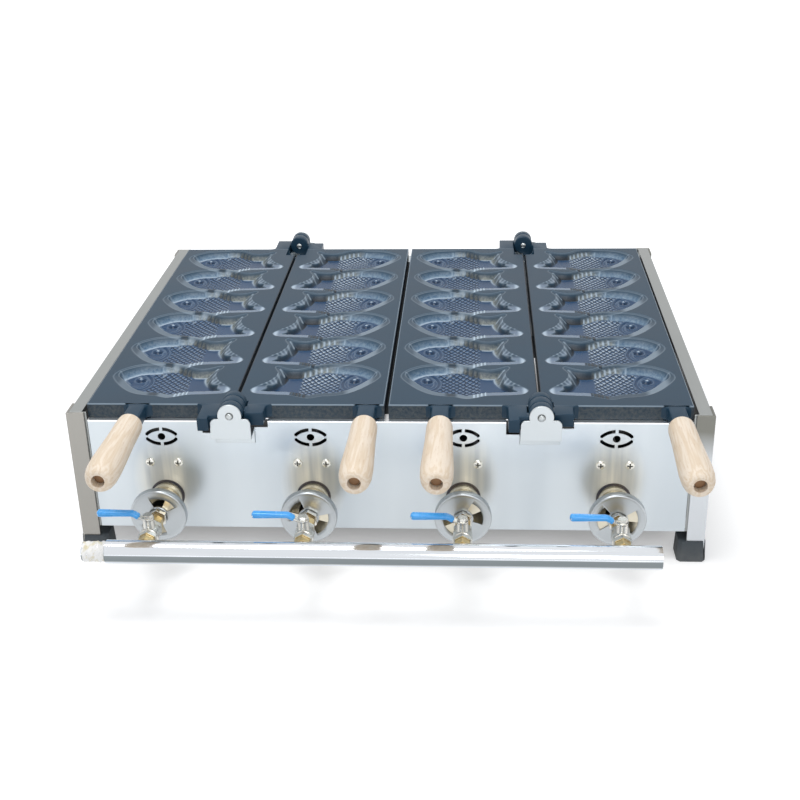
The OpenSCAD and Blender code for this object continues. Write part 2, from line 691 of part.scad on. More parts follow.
// A mixing tube: spigot in the burner, stepped neck, bell with the fixed air plate, and its threaded hub
mixer_in = 30;
ring_l = 6;
small_ring_l = 3;
ring_back = 8;
bell_l = 12;
module mixing_tube(i) color(nickel) on_deck() translate([burner_x(i), 0, burner_z]) difference() {
    neck = neck_d / 2;
    step = (neck_d + ring_d) / 4;
    bore = mixer_bore_d / 2;
    bell = shutter_d / 2 - shutter_t - seat_fit;
    spigot = burner_d / 2 - burner_wall - slip / 2;
    y1 = air_plate_y;
    y2 = y1 + shutter_t;
    y3 = y2 + bell_l;
    y4 = -front_gap - ring_back;
    y5 = sheet_t - front_gap;
    union() {
        turned_y([[0, y1], [bell, y1], [bell, y2], [neck, y3], [neck, y4 - ring_l], [ring_d / 2, y4 - ring_l],
                  [ring_d / 2, y4], [neck, y4], [neck, y4 + small_ring_l], [step, y4 + small_ring_l],
                  [step, y4 + 2 * small_ring_l], [neck, y4 + 2 * small_ring_l], [neck, y5],
                  [spigot, y5], [spigot, mixer_in], [bore, mixer_in], [bore, y3], [bell - shutter_t, y2],
                  [0, y2]]);
        rod_y(0, lock_nut_y - seat_fit, 0, hub_d, y2 - lock_nut_y + seat_fit);
    }
    openings(y1 - over, shutter_t + 2 * over, air_turns[i]);
    rod_y(0, lock_nut_y - seat_fit - over, 0, jet_d + slip, y2 - lock_nut_y + 2 * over);
}

// An air shutter: a shallow pressed cup that turns on the hub, with two openings
module air_shutter(i) color(steel) on_deck() translate([burner_x(i), 0, burner_z]) difference() {
    rod_y(0, shutter_y, 0, shutter_d, shutter_rim);
    rod_y(0, shutter_y + shutter_t, 0, shutter_d - 2 * shutter_t, shutter_rim);
    rod_y(0, shutter_y - over, 0, hub_d + 2 * seat_fit, shutter_t + 2 * over);
    openings(shutter_y - over, shutter_t + 2 * over, shutter_turns[i]);
}

module shutter_lock_nuts() color(nickel) on_deck() at_burners() difference() {
    hex_y(lock_nut_y, lock_nut_af, lock_nut_t);
    rod_y(0, lock_nut_y - over, 0, hub_d + slip, lock_nut_t + 2 * over);
}

// The jets: hexagon, neck and nozzle, which is screwed into the mixing tube's hub
module gas_jets() color(brass) on_deck() at_burners() difference() {
    union() {
        hex_y(jet_y, jet_af, jet_hex_l);
        rod_y(0, jet_y + jet_hex_l - over, 0, jet_d, air_plate_y + shutter_t - jet_y - jet_hex_l + 2 * over);
    }
    rod_y(0, jet_y - over, 0, jet_bore_d, air_plate_y - jet_y + shutter_t + 4 * over);
}

// A ball valve: barrel between two hexagon ends, with a boss for the stem
valve_end_l = 6.5;
valve_neck_d = 18;
stem_boss_d = 13;
gas_way_d = 8;
stem_depth = 9;
module valve_body(i) color(nickel) on_deck() translate([burner_x(i), 0, burner_z]) difference() {
    neck = valve_neck_d / 2;
    barrel = valve_d / 2;
    y1 = valve_y + valve_end_l;
    y2 = valve_y + valve_l - valve_end_l;
    union() {
        turned_y([[0, y1 - over], [neck, y1 - over], [neck, y1], [barrel, y1 + (barrel - neck) / 2],
                  [barrel, y2 - (barrel - neck) / 2], [neck, y2], [neck, y2 + over], [0, y2 + over]]);
        hex_y(valve_y, valve_af, valve_end_l);
        hex_y(valve_y + valve_l - valve_end_l, valve_af, valve_end_l);
        translate([0, stem_y, 0]) cylinder(d = stem_boss_d, h = stem_rise);
    }
    rod_y(0, valve_y - over, 0, gas_way_d, valve_l + 2 * over);
    translate([0, stem_y, stem_rise - stem_depth]) cylinder(d = stem_d + 2 * pin_fit, h = stem_depth + over);
}

// A lever, closed across the valve: stem, hub, nut, and an arm that steps up to its grip
arm_start = 7;
arm_bend = 17;
module valve_lever(i) color(nickel) on_deck() translate([burner_x(i), stem_y, lever_z]) {
    rotate([90, 0, 0]) translate([0, 0, -lever_w / 2]) linear_extrude(lever_w) polygon([
        [0, 0], [-arm_start, 0], [-arm_bend, lever_rise], [-lever_l, lever_rise],
        [-lever_l, lever_rise + lever_t], [-arm_bend, lever_rise + lever_t], [-arm_start, lever_t],
        [0, lever_t]]);
    cylinder(d = stem_boss_d, h = lever_t);
    rotate([180, 0, 0]) cylinder(d = stem_d, h = stem_depth);
    cylinder(d = stem_nut_af / cos(30), h = lever_t + stem_nut_h, $fn = 6);
}

// The vinyl sleeve over a lever's grip, a closed pocket with round edges
sleeve_start = 19;
sleeve_fit = 0.1;
module lever_sleeve(i) color(vinyl_blue) on_deck() translate([burner_x(i), stem_y, lever_z]) difference() {
    h = lever_t + 2 * sleeve_wall + 2 * sleeve_fit;
    w = lever_w / 2 + sleeve_fit;
    x = -lever_l - sleeve_wall - sleeve_fit;
    translate([x, 0, lever_rise + lever_t / 2]) union() {
        translate([0, -w, -h / 2]) cube([-x - sleeve_start, 2 * w, h]);
        for (s = [-1, 1]) translate([0, s * w, 0]) rotate([0, 90, 0]) cylinder(d = h, h = -x - sleeve_start);
    }
    translate([-lever_l - sleeve_fit, -w, lever_rise - sleeve_fit])
        cube([lever_l - sleeve_start + over, 2 * w, lever_t + 2 * sleeve_fit]);
}

// The nuts between the pipe and the valves, each with a spigot in the pipe's wall
spigot_d = 12;
spigot_y = pipe_y + pipe_d / 2 - pipe_wall - over;
module inlet_nuts() color(brass) on_deck() at_burners() difference() {
    union() {
        hex_y(inlet_nut_y, jet_af, inlet_nut_l);
        rod_y(0, spigot_y, 0, spigot_d, inlet_nut_y - spigot_y + over);
    }
    rod_y(0, pipe_y, 0, gas_way_d, valve_y - pipe_y);
}

module pipe_bar(x, d, l) translate([x, pipe_y, burner_z]) rotate([0, 90, 0]) cylinder(d = d, h = l);

// The gas pipe, with a hole for each nut's spigot
module gas_pipe() color(nickel) on_deck() difference() {
    pipe_bar(-pipe_l / 2, pipe_d, pipe_l);
    pipe_bar(-pipe_l / 2 - over, pipe_d - 2 * pipe_wall, pipe_l + 2 * over);
    at_burners() rod_y(0, pipe_y, 0, spigot_d + slip, pipe_d);
}

cap_t = 3;
plug_l = 12;
module pipe_end_cap() color(nickel) on_deck() {
    pipe_bar(pipe_l / 2, pipe_d, cap_t);
    pipe_bar(pipe_l / 2 - plug_l, pipe_d - 2 * pipe_wall - slip, plug_l + cap_t / 2);
}

// The inlet: a collar on the pipe's left end, a plug in it and the thread for the gas hose
module inlet_nipple() color(nickel) on_deck() difference() {
    union() {
        pipe_bar(-pipe_l / 2 - cap_t, pipe_d, cap_t);
        pipe_bar(-pipe_l / 2 - cap_t / 2, pipe_d - 2 * pipe_wall - slip, plug_l);
        pipe_bar(-pipe_l / 2 - cap_t - inlet_l, inlet_d, inlet_l + cap_t / 2);
    }
    pipe_bar(-pipe_l / 2 - cap_t - inlet_l - over, inlet_bore_d, inlet_l + cap_t + plug_l + 2 * over);
}

// The screws that hold the burners to the front panel
screw_head_d = 10;
screw_head_h = 3;
screw_l = 12;
module burner_screws() color(steel) on_deck() at_burners() for (s = [-1, 1]) {
    rod_y(s * screw_pitch / 2, -front_gap - screw_head_h, screw_rise, screw_head_d, screw_head_h);
    rod_y(s * screw_pitch / 2, -front_gap - screw_head_h / 2, screw_rise, screw_d, screw_l);
}

side_wall(-1);  // side_wall_left
side_wall(1);  // side_wall_right
front_panel();
rear_panel();
centre_rail();
burner_rest();
leg(-1, false);  // leg_front_left
leg(1, false);  // leg_front_right
leg(-1, true);  // leg_rear_left
leg(1, true);  // leg_rear_right
rubber_feet();
burner_screws();
mould_plate(0);  // mould_plate_1
mould_plate(1);  // mould_plate_2
mould_plate(2);  // mould_plate_3
mould_plate(3);  // mould_plate_4
grip(0);  // grip_1
grip(1);  // grip_2
grip(2);  // grip_3
grip(3);  // grip_4
handle_rod(0);  // handle_rod_1
handle_rod(1);  // handle_rod_2
handle_rod(2);  // handle_rod_3
handle_rod(3);  // handle_rod_4
hinge_bracket_front(0);  // hinge_bracket_front_1
hinge_bracket_front(1);  // hinge_bracket_front_2
hinge_bracket_rear(0);  // hinge_bracket_rear_1
hinge_bracket_rear(1);  // hinge_bracket_rear_2
hinge_pins();
burner_tube(0);  // burner_tube_1
burner_tube(1);  // burner_tube_2
burner_tube(2);  // burner_tube_3
burner_tube(3);  // burner_tube_4
mixing_tube(0);  // mixing_tube_1
mixing_tube(1);  // mixing_tube_2
mixing_tube(2);  // mixing_tube_3
mixing_tube(3);  // mixing_tube_4
air_shutter(0);  // air_shutter_1
air_shutter(1);  // air_shutter_2
air_shutter(2);  // air_shutter_3
air_shutter(3);  // air_shutter_4
shutter_lock_nuts();
gas_jets();
valve_body(0);  // valve_body_1
valve_body(1);  // valve_body_2
valve_body(2);  // valve_body_3
valve_body(3);  // valve_body_4
valve_lever(0);  // valve_lever_1
valve_lever(1);  // valve_lever_2
valve_lever(2);  // valve_lever_3
valve_lever(3);  // valve_lever_4
lever_sleeve(0);  // lever_sleeve_1
lever_sleeve(1);  // lever_sleeve_2
lever_sleeve(2);  // lever_sleeve_3
lever_sleeve(3);  // lever_sleeve_4
inlet_nuts();
gas_pipe();
pipe_end_cap();
inlet_nipple();
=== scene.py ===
import json
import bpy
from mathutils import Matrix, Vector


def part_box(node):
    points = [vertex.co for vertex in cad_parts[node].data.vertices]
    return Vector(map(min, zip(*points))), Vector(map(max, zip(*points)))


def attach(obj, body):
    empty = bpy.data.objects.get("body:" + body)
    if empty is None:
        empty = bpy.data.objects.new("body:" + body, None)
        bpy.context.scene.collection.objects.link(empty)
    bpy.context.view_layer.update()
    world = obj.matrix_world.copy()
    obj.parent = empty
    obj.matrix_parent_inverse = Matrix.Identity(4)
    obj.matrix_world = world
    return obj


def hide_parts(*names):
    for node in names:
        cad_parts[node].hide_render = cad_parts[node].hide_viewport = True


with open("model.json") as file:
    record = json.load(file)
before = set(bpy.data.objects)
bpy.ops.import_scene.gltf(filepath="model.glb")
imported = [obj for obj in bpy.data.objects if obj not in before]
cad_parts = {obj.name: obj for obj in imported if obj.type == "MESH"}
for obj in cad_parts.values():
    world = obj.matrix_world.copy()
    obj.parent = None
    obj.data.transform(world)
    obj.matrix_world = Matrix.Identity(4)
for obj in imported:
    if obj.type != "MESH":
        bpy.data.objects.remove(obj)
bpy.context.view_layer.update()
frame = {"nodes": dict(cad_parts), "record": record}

from types import SimpleNamespace
import bmesh
import bpy
import numpy as np
from mathutils import Matrix, Vector


# The camera: on the photograph's place and angle, worked out from the straight edges of the decks, the rails
# and the gas pipe. It is 1.2 m before the front panel, a little to the right, and looks down by 25 degrees.
def shown(name, data):
    """A new object in the scene."""
    item = bpy.data.objects.new(name, data)
    bpy.context.scene.collection.objects.link(item)
    return item


camera_place = Vector((0.1024, -1.53675, 0.8185))
camera_right = Vector((0.99821, 0.05570, -0.02139)).normalized()
camera_up = Vector((-0.00417, 0.42284, 0.90619)).normalized()
camera_back = camera_right.cross(camera_up).normalized()
camera_up = camera_back.cross(camera_right)
camera_data = bpy.data.cameras.new("camera")
camera_data.lens = 56.31
camera_data.sensor_width = 36
camera = shown("camera", camera_data)
camera.matrix_world = Matrix.Translation(camera_place) @ Matrix(
    [camera_right, camera_up, camera_back]).transposed().to_4x4()
bpy.context.scene.camera = camera
bpy.context.scene.view_settings.view_transform = "Standard"


# The studio: a pale floor under a white surround, one large soft lamp overhead and a weaker one before the
# cabinet. Metal sees the white surround too, and the floor keeps the cabinet's shadow.
def over(operation, turned_round=False):
    """An operator of wires: a Math node over a wire and another value, in this order or turned round."""
    return lambda wire, other: wire.math(operation, *((other, wire) if turned_round else (wire, other)))


class Wire:
    """A value in a shader. Arithmetic on wires and numbers adds Math nodes."""

    __add__, __radd__ = over("ADD"), over("ADD", True)
    __sub__, __rsub__ = over("SUBTRACT"), over("SUBTRACT", True)
    __mul__, __rmul__ = over("MULTIPLY"), over("MULTIPLY", True)
    __truediv__, __rtruediv__ = over("DIVIDE"), over("DIVIDE", True)
    __pow__, __rpow__ = over("POWER"), over("POWER", True)

    def __init__(self, finish, socket):
        self.finish, self.socket = finish, socket

    def math(self, operation, *values):
        return self.finish.node("ShaderNodeMath", {"operation": operation}, values)[0]

    def __abs__(self):
        return self.math("ABSOLUTE", self)

    def least(self, other):
        return self.math("MINIMUM", self, other)

    def most(self, other):
        return self.math("MAXIMUM", self, other)

    def held(self):
        """The value, kept between 0 and 1."""
        return self.finish.node("ShaderNodeClamp", {}, [self])[0]

    def share(self):
        """What is left of the value above its whole number."""
        return self.math("FRACT", self)


class Finish:
    """A finish: a material, or the world, with one method that adds any node to it."""

    def __init__(self, owner, **constants):
        self.owner = owner
        owner.use_nodes = True
        self.tree = owner.node_tree
        self.shader = self.tree.nodes.get("Principled BSDF")
        for socket, value in constants.items():
            self.shader.inputs[socket.replace("_", " ")].default_value = value

    def node(self, kind, settings, inputs):
        """Adds a node: its settings first, then its sockets by number or name. Gives its outputs as wires."""
        node = self.tree.nodes.new(kind)
        for key, value in settings.items():
            setattr(node, key, value)
        for key, value in (inputs.items() if isinstance(inputs, dict) else enumerate(inputs)):
            if isinstance(value, Wire):
                self.tree.links.new(value.socket, node.inputs[key])
            else:
                node.inputs[key].default_value = value
        return [Wire(self, socket) for socket in node.outputs]

    def feed(self, **wires):
        """Links wires to the shader's sockets."""
        for socket, wire in wires.items():
            self.tree.links.new(wire.socket, self.shader.inputs[socket.replace("_", " ")])

    def place(self):
        """The place on the object, in metres: the whole vector, then x, y and z."""
        point = self.node("ShaderNodeTexCoord", {}, {})[3]
        return [point, *self.node("ShaderNodeSeparateXYZ", {}, [point])]

    def stretched(self, point, *scales):
        """A point with each coordinate multiplied by its own number."""
        return self.node("ShaderNodeVectorMath", {"operation": "MULTIPLY"}, [point, scales])[0]

    def noise(self, point, scale, detail=2.0, roughness=0.5):
        """Smooth noise from 0 to 1."""
        return self.node("ShaderNodeTexNoise", {}, {"Vector": point, "Scale": scale, "Detail": detail,
                                                    "Roughness": roughness})[0]

    def ramp(self, value, low, high):
        """Rises from 0 to 1 while a value goes from low to high."""
        return self.node("ShaderNodeMapRange", {}, [value, low, high, 0.0, 1.0])[0]

    def mix(self, share, first, second):
        """A colour between two others."""
        first, second = [c if isinstance(c, Wire) else (*c, 1) for c in (first, second)]
        return self.node("ShaderNodeMix", {"data_type": "RGBA"}, {0: share, 6: first, 7: second})[2]

    def bump(self, height, distance, strength=1.0):
        """The surface's normal over a height from 0 to 1, whose full rise is a distance in metres."""
        sockets = {"Height": height, "Distance": distance, "Strength": strength}
        return self.node("ShaderNodeBump", {}, sockets)[0]


def tone(red, green, blue):
    """A colour from its 0 to 255 display values, as the linear numbers that the shaders take."""
    share = np.array([red, green, blue]) / 255
    return tuple(np.where(share <= 0.04045, share / 12.92, ((share + 0.055) / 1.055) ** 2.4).tolist())


def material(name, **constants):
    """A new material, with constants on its shader's sockets."""
    return Finish(bpy.data.materials.new(name), **constants)


floor_half, floor_z = 6.0, -0.0003
floor_mesh = bpy.data.meshes.new("studio_floor")
corners = [(x * floor_half, y * floor_half, floor_z) for x, y in ((-1, -1), (1, -1), (1, 1), (-1, 1))]
floor_mesh.from_pydata(corners, [], [(0, 1, 2, 3)])
floor = shown("studio_floor", floor_mesh)


def seen(finish):
    """1 for camera, glossy and transmission rays, which see the white surround, and 0 for rays of light."""
    rays = finish.node("ShaderNodeLightPath", {}, {})
    return rays[0].most(rays[3]).most(rays[6])


paper = material("white_floor", Roughness=0.9, Specular_IOR_Level=0.0, Emission_Strength=1.0)
point, x, y, z = paper.place()
away = paper.ramp((x * x + y * y) ** 0.5, 0.55, 1.5)
# The floor is painted dark, a painted shadow with no glow, where the vents look at it through the cabinet,
# and pale again near the cabinet's walls.
painted_shadow = (paper.ramp(x, -0.395, -0.383) * paper.ramp(x, 0.37, 0.33)
        * paper.ramp(y, -0.22, -0.05) * paper.ramp(y, 0.38, 0.1))
outside_painted_shadow = 1.0 - painted_shadow
glow = paper.mix(away, paper.mix(outside_painted_shadow, (0, 0, 0), (0.42, 0.42, 0.42)), (1, 1, 1))
paper.feed(Base_Color=paper.mix(outside_painted_shadow, (0.01, 0.01, 0.01), tone(232, 232, 232)),
           Emission_Color=paper.mix(seen(paper), (0, 0, 0), glow))
floor_mesh.materials.append(paper.owner)

world = Finish(bpy.data.worlds.new("white_surround"))
bpy.context.scene.world = world.owner
around = world.tree.nodes["Background"]
around.inputs["Strength"].default_value = 1.0
world.tree.links.new(world.mix(seen(world), (0.52, 0.53, 0.55), (1, 1, 1)).socket, around.inputs["Color"])


def lamp(name, place, aim, size, power):
    """A square soft lamp that looks from its place at a point."""
    light = bpy.data.lights.new(name, "AREA")
    light.size, light.energy = size, power
    turned_to = (Vector(aim) - Vector(place)).to_track_quat("-Z", "Y").to_matrix().to_4x4()
    shown(name, light).matrix_world = Matrix.Translation(place) @ turned_to


lamp("overhead_lamp", (-0.35, -0.25, 2.3), (0, 0, 0.1), 1.1, 27)
lamp("front_lamp", (0.7, -3.0, 1.7), (0, -0.2, 0.1), 1.4, 20)

# The cabinet: folded stainless sheet, brushed along its length. Two side walls with a top flange stand
# between corner legs of thicker sheet, with a rail across under the joint of the plates.
body_of = {node: body for body, nodes in frame["record"]["behaviour"]["bodies"].items() for node in nodes}
slot_of = {part["node"]: part["material_slot"] for part in frame["record"]["subparts"]}


def dress(finish, *nodes):
    """Gives CAD nodes a finish."""
    for node in nodes:
        mesh = frame["nodes"][node].data
        mesh.materials.clear()
        mesh.materials.append(finish.owner)


def hairlined(name, rough, along):
    """Brushed steel without its colour: its hairlines are noise, drawn out a hundredfold along an axis. Gives
    the finish, and a cloudy noise for the colour."""
    steel = material(name, Metallic=1.0)
    point = steel.place()[0]
    across = [900.0 if axis != along else 9.0 for axis in "xyz"]
    hair = steel.noise(steel.stretched(point, *across), 1.0, 3.0, 0.7)
    cloud = steel.noise(point, 7.0, 3.0)
    steel.feed(Roughness=rough - 0.06 + 0.08 * cloud + 0.06 * hair, Normal=steel.bump(hair, 0.00006, 0.5))
    return steel, cloud


def clouded(steel, cloud, base):
    """A colour that wanders with the cloud, from a tenth below its base to a little above it."""
    return steel.mix(cloud, [c * 0.9 for c in base], [min(c * 1.08, 1) for c in base])


def brushed(name, base, rough, along):
    """Brushed steel in one clouded colour."""
    steel, cloud = hairlined(name, rough, along)
    steel.feed(Base_Color=clouded(steel, cloud, base))
    return steel


def worked(finish, width, *nodes):
    """Copies of CAD nodes whose edges are rounded by a width in millimetres. Each stands for its node."""
    for node in nodes:
        mesh = frame["nodes"][node].data.copy()
        mesh.name = node + "_worked"
        mesh.transform(frame["nodes"][node].matrix_world)
        shell = bmesh.new()
        shell.from_mesh(mesh)
        bmesh.ops.remove_doubles(shell, verts=shell.verts, dist=0.000002)
        bmesh.ops.dissolve_limit(shell, angle_limit=0.01, verts=shell.verts, edges=shell.edges)
        shell.to_mesh(mesh)
        shell.free()
        mesh.polygons.foreach_set("use_smooth", np.ones(len(mesh.polygons), bool))
        mesh.set_sharp_from_angle(angle=0.6)
        mesh.materials.clear()
        mesh.materials.append(finish.owner)
        item = shown(node + "_worked", mesh)
        bevel = item.modifiers.new("rounded_edges", "BEVEL")
        bevel.width, bevel.segments = width / 1000, 2
        bevel.limit_method, bevel.angle_limit, bevel.harden_normals = "ANGLE", 0.7, True
        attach(item, body_of[node])
        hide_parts(node)


rail_finish = brushed("grey_brushed_sheet", tone(160, 163, 162), 0.36, "y")
leg_finish, cloud = hairlined("grey_brushed_legs", 0.38, "z")
point, x, y, z = leg_finish.place()
# The legs' colour is painted light: painted shade on the left-hand legs, lit right-hand ones, and painted
# shade at the tops of the right-hand legs.
shaded_left_leg, lit_right_leg, shaded_right_leg_top = tone(154, 152, 147), tone(200, 204, 208), tone(122, 122, 116)
lit_right_leg = leg_finish.mix(leg_finish.ramp(z + 0.03 * cloud, 0.145, 0.19), lit_right_leg, shaded_right_leg_top)
leg_finish.feed(Base_Color=leg_finish.mix(leg_finish.ramp(x + 0.05 * cloud, -0.2, 0.2), shaded_left_leg, lit_right_leg))
worked(rail_finish, 0.5, "side_wall_left", "side_wall_right")
worked(leg_finish, 0.6, "leg_front_left", "leg_front_right", "leg_rear_left", "leg_rear_right")
# The rail under the joint of the plates is brushed steel in a very dark grey.
dress(brushed("near_black_rail_under_the_plates", tone(44, 48, 52), 0.5, "y"), "centre_rail")

# The front and rear panels: satin stainless sheet with hairlines from side to side, each folded back along
# its top, where the front one has a painted highlight. The front one has turned straw yellow in the heat
# around and above each burner. There it is also painted lighter, streaked and less metallic: painted light
# over the dark reflections of the shutters and tubes.
hinge_x, burner_off = 178.0, 88.5
burners = [hinge + side * burner_off for hinge in (-hinge_x, hinge_x) for side in (-1, 1)]
panel = material("satin_panel_sheet", Metallic=1.0)
point, x, y, z = panel.place()
hair = panel.noise(panel.stretched(point, 10.0, 900.0, 1100.0), 1.0, 3.0, 0.7)
bands = panel.noise(panel.stretched(point, 14.0, 1.0, 1.4), 1.0, 2.0)
cloud = panel.noise(point, 9.0, 3.0)
beside = abs(abs(abs(x) - hinge_x / 1000) - burner_off / 1000)
above = abs(z - 0.105) * 0.62
facing = panel.ramp(y, 0.1, -0.1)
near = panel.ramp((beside * beside + above * above) ** 0.5 + 0.02 * cloud, 0.05, 0.016) * facing
panel_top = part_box("front_panel")[1][2]
# A painted highlight along the front panel's folded top.
painted_fold_highlight = panel.ramp(z, panel_top - 0.0022, panel_top - 0.0012) * facing
clean = panel.mix(painted_fold_highlight, panel.mix(bands, tone(176, 185, 192), tone(216, 222, 225)), tone(252, 253, 254))
# The streaked tint near the burners is partly heat and partly painted light.
streaks = panel.ramp(panel.noise(panel.stretched(point, 90.0, 1.0, 5.0), 1.0, 2.0), 0.36, 0.62)
heat_tint_and_painted_light = panel.mix(streaks, tone(206, 206, 200), tone(255, 250, 234))
panel.feed(Base_Color=panel.mix(near * 0.9, clean, heat_tint_and_painted_light),
           Metallic=1.0 - 0.75 * near,
           Roughness=0.27 + 0.07 * cloud + 0.05 * hair,
           Normal=panel.bump(hair, 0.00005, 0.45))
worked(panel, 0.3, "front_panel", "rear_panel")

# The front panel's vents: four slots around a round hole, stamped in the shape of an eye. The slots are moved
# outward from where the solid has them, so that a vent measures 45 mm by 24 mm.
vent_z, half_w, half_h, slot_w, hole_r, spare = 0.1615, 0.019, 0.011, 0.0034, 0.0052, 0.0005
wider, higher = 0.18, 0.09
arc_r = (half_w ** 2 + half_h ** 2) / (2 * half_h)
sheet = bpy.data.objects["front_panel_worked"].data
places = np.empty(len(sheet.vertices) * 3, np.float32)
sheet.vertices.foreach_get("co", places)
places = places.reshape(-1, 3)
for burner in burners:
    off_x, off_z = places[:, 0] - burner / 1000, places[:, 2] - vent_z
    slot = (np.abs(off_x) < half_w + spare) & (np.abs(off_z) < half_h + spare)
    slot &= np.hypot(off_x, off_z) > hole_r
    outer = np.hypot(off_x, np.abs(off_z) + arc_r - half_h) > arc_r - slot_w / 2
    places[:, 0] += np.where(slot, off_x * wider, 0)
    places[:, 2] += np.where(slot & outer, off_z * higher, 0)
sheet.vertices.foreach_set("co", places.ravel())
sheet.update()

# Inside the cabinet: the burner tubes, with their flame slots, and the rest that carries their rear ends.
# They are plain steel, which the flames have scaled brown and blue.
scaled = material("flame_scaled_steel", Metallic=0.85)
point = scaled.place()[0]
blot = scaled.noise(point, 38.0, 5.0, 0.65)
fine = scaled.noise(point, 420.0, 3.0, 0.6)
scaled.feed(Base_Color=scaled.mix(scaled.ramp(blot, 0.35, 0.65), tone(120, 112, 108), tone(92, 96, 108)),
            Roughness=0.42 + 0.25 * blot, Normal=scaled.bump(fine, 0.00015, 0.5))
dress(scaled, "burner_rest", *(f"burner_tube_{i}" for i in (1, 2, 3, 4)))

# The rubber feet: moulded cups, pushed over the legs' ends. They are dark grey and matt, and dusty on their
# flared skirts.
rubber = material("foot_rubber")
point, x, y, z = rubber.place()
fine = rubber.noise(point, 900.0, 2.0, 0.6)
dust = rubber.noise(point, 60.0, 3.0) * rubber.ramp(z, 0.03, 0.0)
rubber.feed(Base_Color=rubber.mix(dust, tone(58, 66, 72), tone(112, 114, 114)),
            Roughness=0.62 + 0.15 * fine, Normal=rubber.bump(fine, 0.00012, 0.5))
worked(rubber, 1.2, "rubber_feet")


# The mould plates: cast blocks with a dark blue non-stick coat, six fish moulds in each. A mould has a
# shallow band inside its outline, a steep wall, ribs in its fins and tail, and a body with scales and a face.
plate_l, plate_w, plate_t = 578.0, 174.0, 17.5
deck_z, deck_y, hinge_gap, hinge_rise = 200.45, -226.35, 3.0, 0.25
skirt, hinge_skirt, hollow = 8.0, 20.0, 8.0
mould_count, fish_l, fish_h, fish_front, fish_rear = 6, 155.5, 105.0, 16.5, 5.0
fish_pitch = (plate_l - fish_front - fish_rear - fish_h) / (mould_count - 1)
fish_x = hinge_gap / 2 + (plate_w - fish_l) / 2
edge_r, trough_r, trough_l, notch_l = 1.4, 15.2, 30.0, 8.5
hinge_lines = (-hinge_x, -hinge_x, hinge_x, hinge_x)

# The outlines of a mould and of its body, as shares of the mould's length and height.
rim_shares = [[0, 0.262], [0.026, 0.157], [0.084, 0.124], [0.219, 0.105], [0.334, 0.095], [0.412, 0.029],
              [0.489, 0], [0.566, 0.067], [0.65, 0.076], [0.752, 0.119], [0.849, 0.243], [0.932, 0.414],
              [0.99, 0.567], [1, 0.652], [0.977, 0.767], [0.926, 0.862], [0.836, 0.957], [0.688, 0.995],
              [0.54, 1], [0.444, 0.957], [0.379, 0.852], [0.302, 0.814], [0.225, 0.862], [0.161, 0.938],
              [0.129, 0.881], [0.19, 0.7], [0.141, 0.49], [0.071, 0.376]]
body_shares = [[0.354, 0.471], [0.392, 0.271], [0.476, 0.167], [0.604, 0.138], [0.733, 0.186], [0.842, 0.319],
               [0.92, 0.49], [0.945, 0.624], [0.907, 0.776], [0.817, 0.89], [0.701, 0.938], [0.592, 0.895],
               [0.489, 0.79], [0.392, 0.671]]
# Ribs and creases as straight lines in a mould's millimetres, and the places of the eye and the cheek.
tail_ribs = [[(6, 46), (12, 41)], [(11, 53.5), (19, 44)], [(16, 60), (25, 46)], [(21, 67), (30, 48)],
             [(26, 75), (34, 54)]]
tail_crease = [[(26.5, 94), (36, 71.5)]]
dorsal_ribs = [[(60, 69), (60.5, 84)], [(67, 77), (66, 93)], [(73.5, 82.5), (72.5, 99)],
               [(80, 88), (78.5, 103)], [(86.5, 92.5), (85.5, 104.5)]]
ventral_ribs = [[(52, 10), (52, 19)], [(56.5, 8), (56.5, 17)], [(61, 5.5), (61, 15)], [(65.5, 3), (65.5, 13)]]
gill_spines = [[(96, 83), (93, 93)], [(97, 84), (99.5, 97)]]
lip_lines = [[(131, 53), (149, 79.5)], [(132.5, 58.5), (143, 74.5)]]
eye_x, eye_y, eye_ring = 122.3, 72.5, 8.0
cheek_x, cheek_y, cheek_narrow, gill_reaches = 126.0, 65.0, 0.76, (26.5, 20.5, 15.0)


def outline(shares):
    """An outline in a mould's own millimetres, its corners cut twice at a quarter of every side."""
    points = np.array(shares) * (fish_l, fish_h)
    for _ in range(2):
        ahead = np.roll(points, -1, axis=0)
        points = np.stack([0.75 * points + 0.25 * ahead, 0.25 * points + 0.75 * ahead], axis=1).reshape(-1, 2)
    return points


def inside(points, loop):
    """Distance to a closed outline, positive inside it: the least distance to its sides, signed by how many
    of them a ray to the right crosses."""
    ahead = np.roll(loop, -1, axis=0)
    side = ahead - loop
    off = points[:, None, :] - loop[None, :, :]
    share = np.clip((off * side).sum(2) / (side * side).sum(1), 0, 1)
    away = np.sqrt(((off - share[..., None] * side) ** 2).sum(2)).min(1)
    above = (loop[:, 1] > points[:, 1:2]) != (ahead[:, 1] > points[:, 1:2])
    rise = np.where(side[:, 1] == 0, 1e-9, side[:, 1])
    right = points[:, :1] < loop[:, 0] + (points[:, 1:2] - loop[:, 1]) / rise * side[:, 0]
    return np.where((above & right).sum(1) % 2 == 1, away, -away)


def near_line(points, ends):
    """Distance to a straight line between two places in a mould."""
    a, b = np.array(ends, float)
    share = np.clip((points - a) @ (b - a) / ((b - a) @ (b - a)), 0, 1)
    return np.hypot(*(points - a - share[:, None] * (b - a)).T)


def ridge(distance, width):
    """1 at distance 0, and less beside it: e to the power of minus (distance over width) squared."""
    return np.exp(-(distance / width) ** 2)


def ribs(points, lines, width):
    """Ridges along straight lines, summed."""
    return sum(ridge(near_line(points, line), width) for line in lines)


def eased(value, low, high):
    """Rises smoothly from 0 to 1 while a value goes from low to high: 3 t^2 - 2 t^3."""
    t = np.clip((value - low) / (high - low), 0, 1)
    return t * t * (3 - 2 * t)


def span(value, low, high, rise, fall):
    """1 between low and high: eased up over a rise from the low end, and down over a fall to the high one."""
    return eased(value, low, low + rise) * eased(-value, -high, fall - high)


rim_loop, body_loop = outline(rim_shares), outline(body_shares)


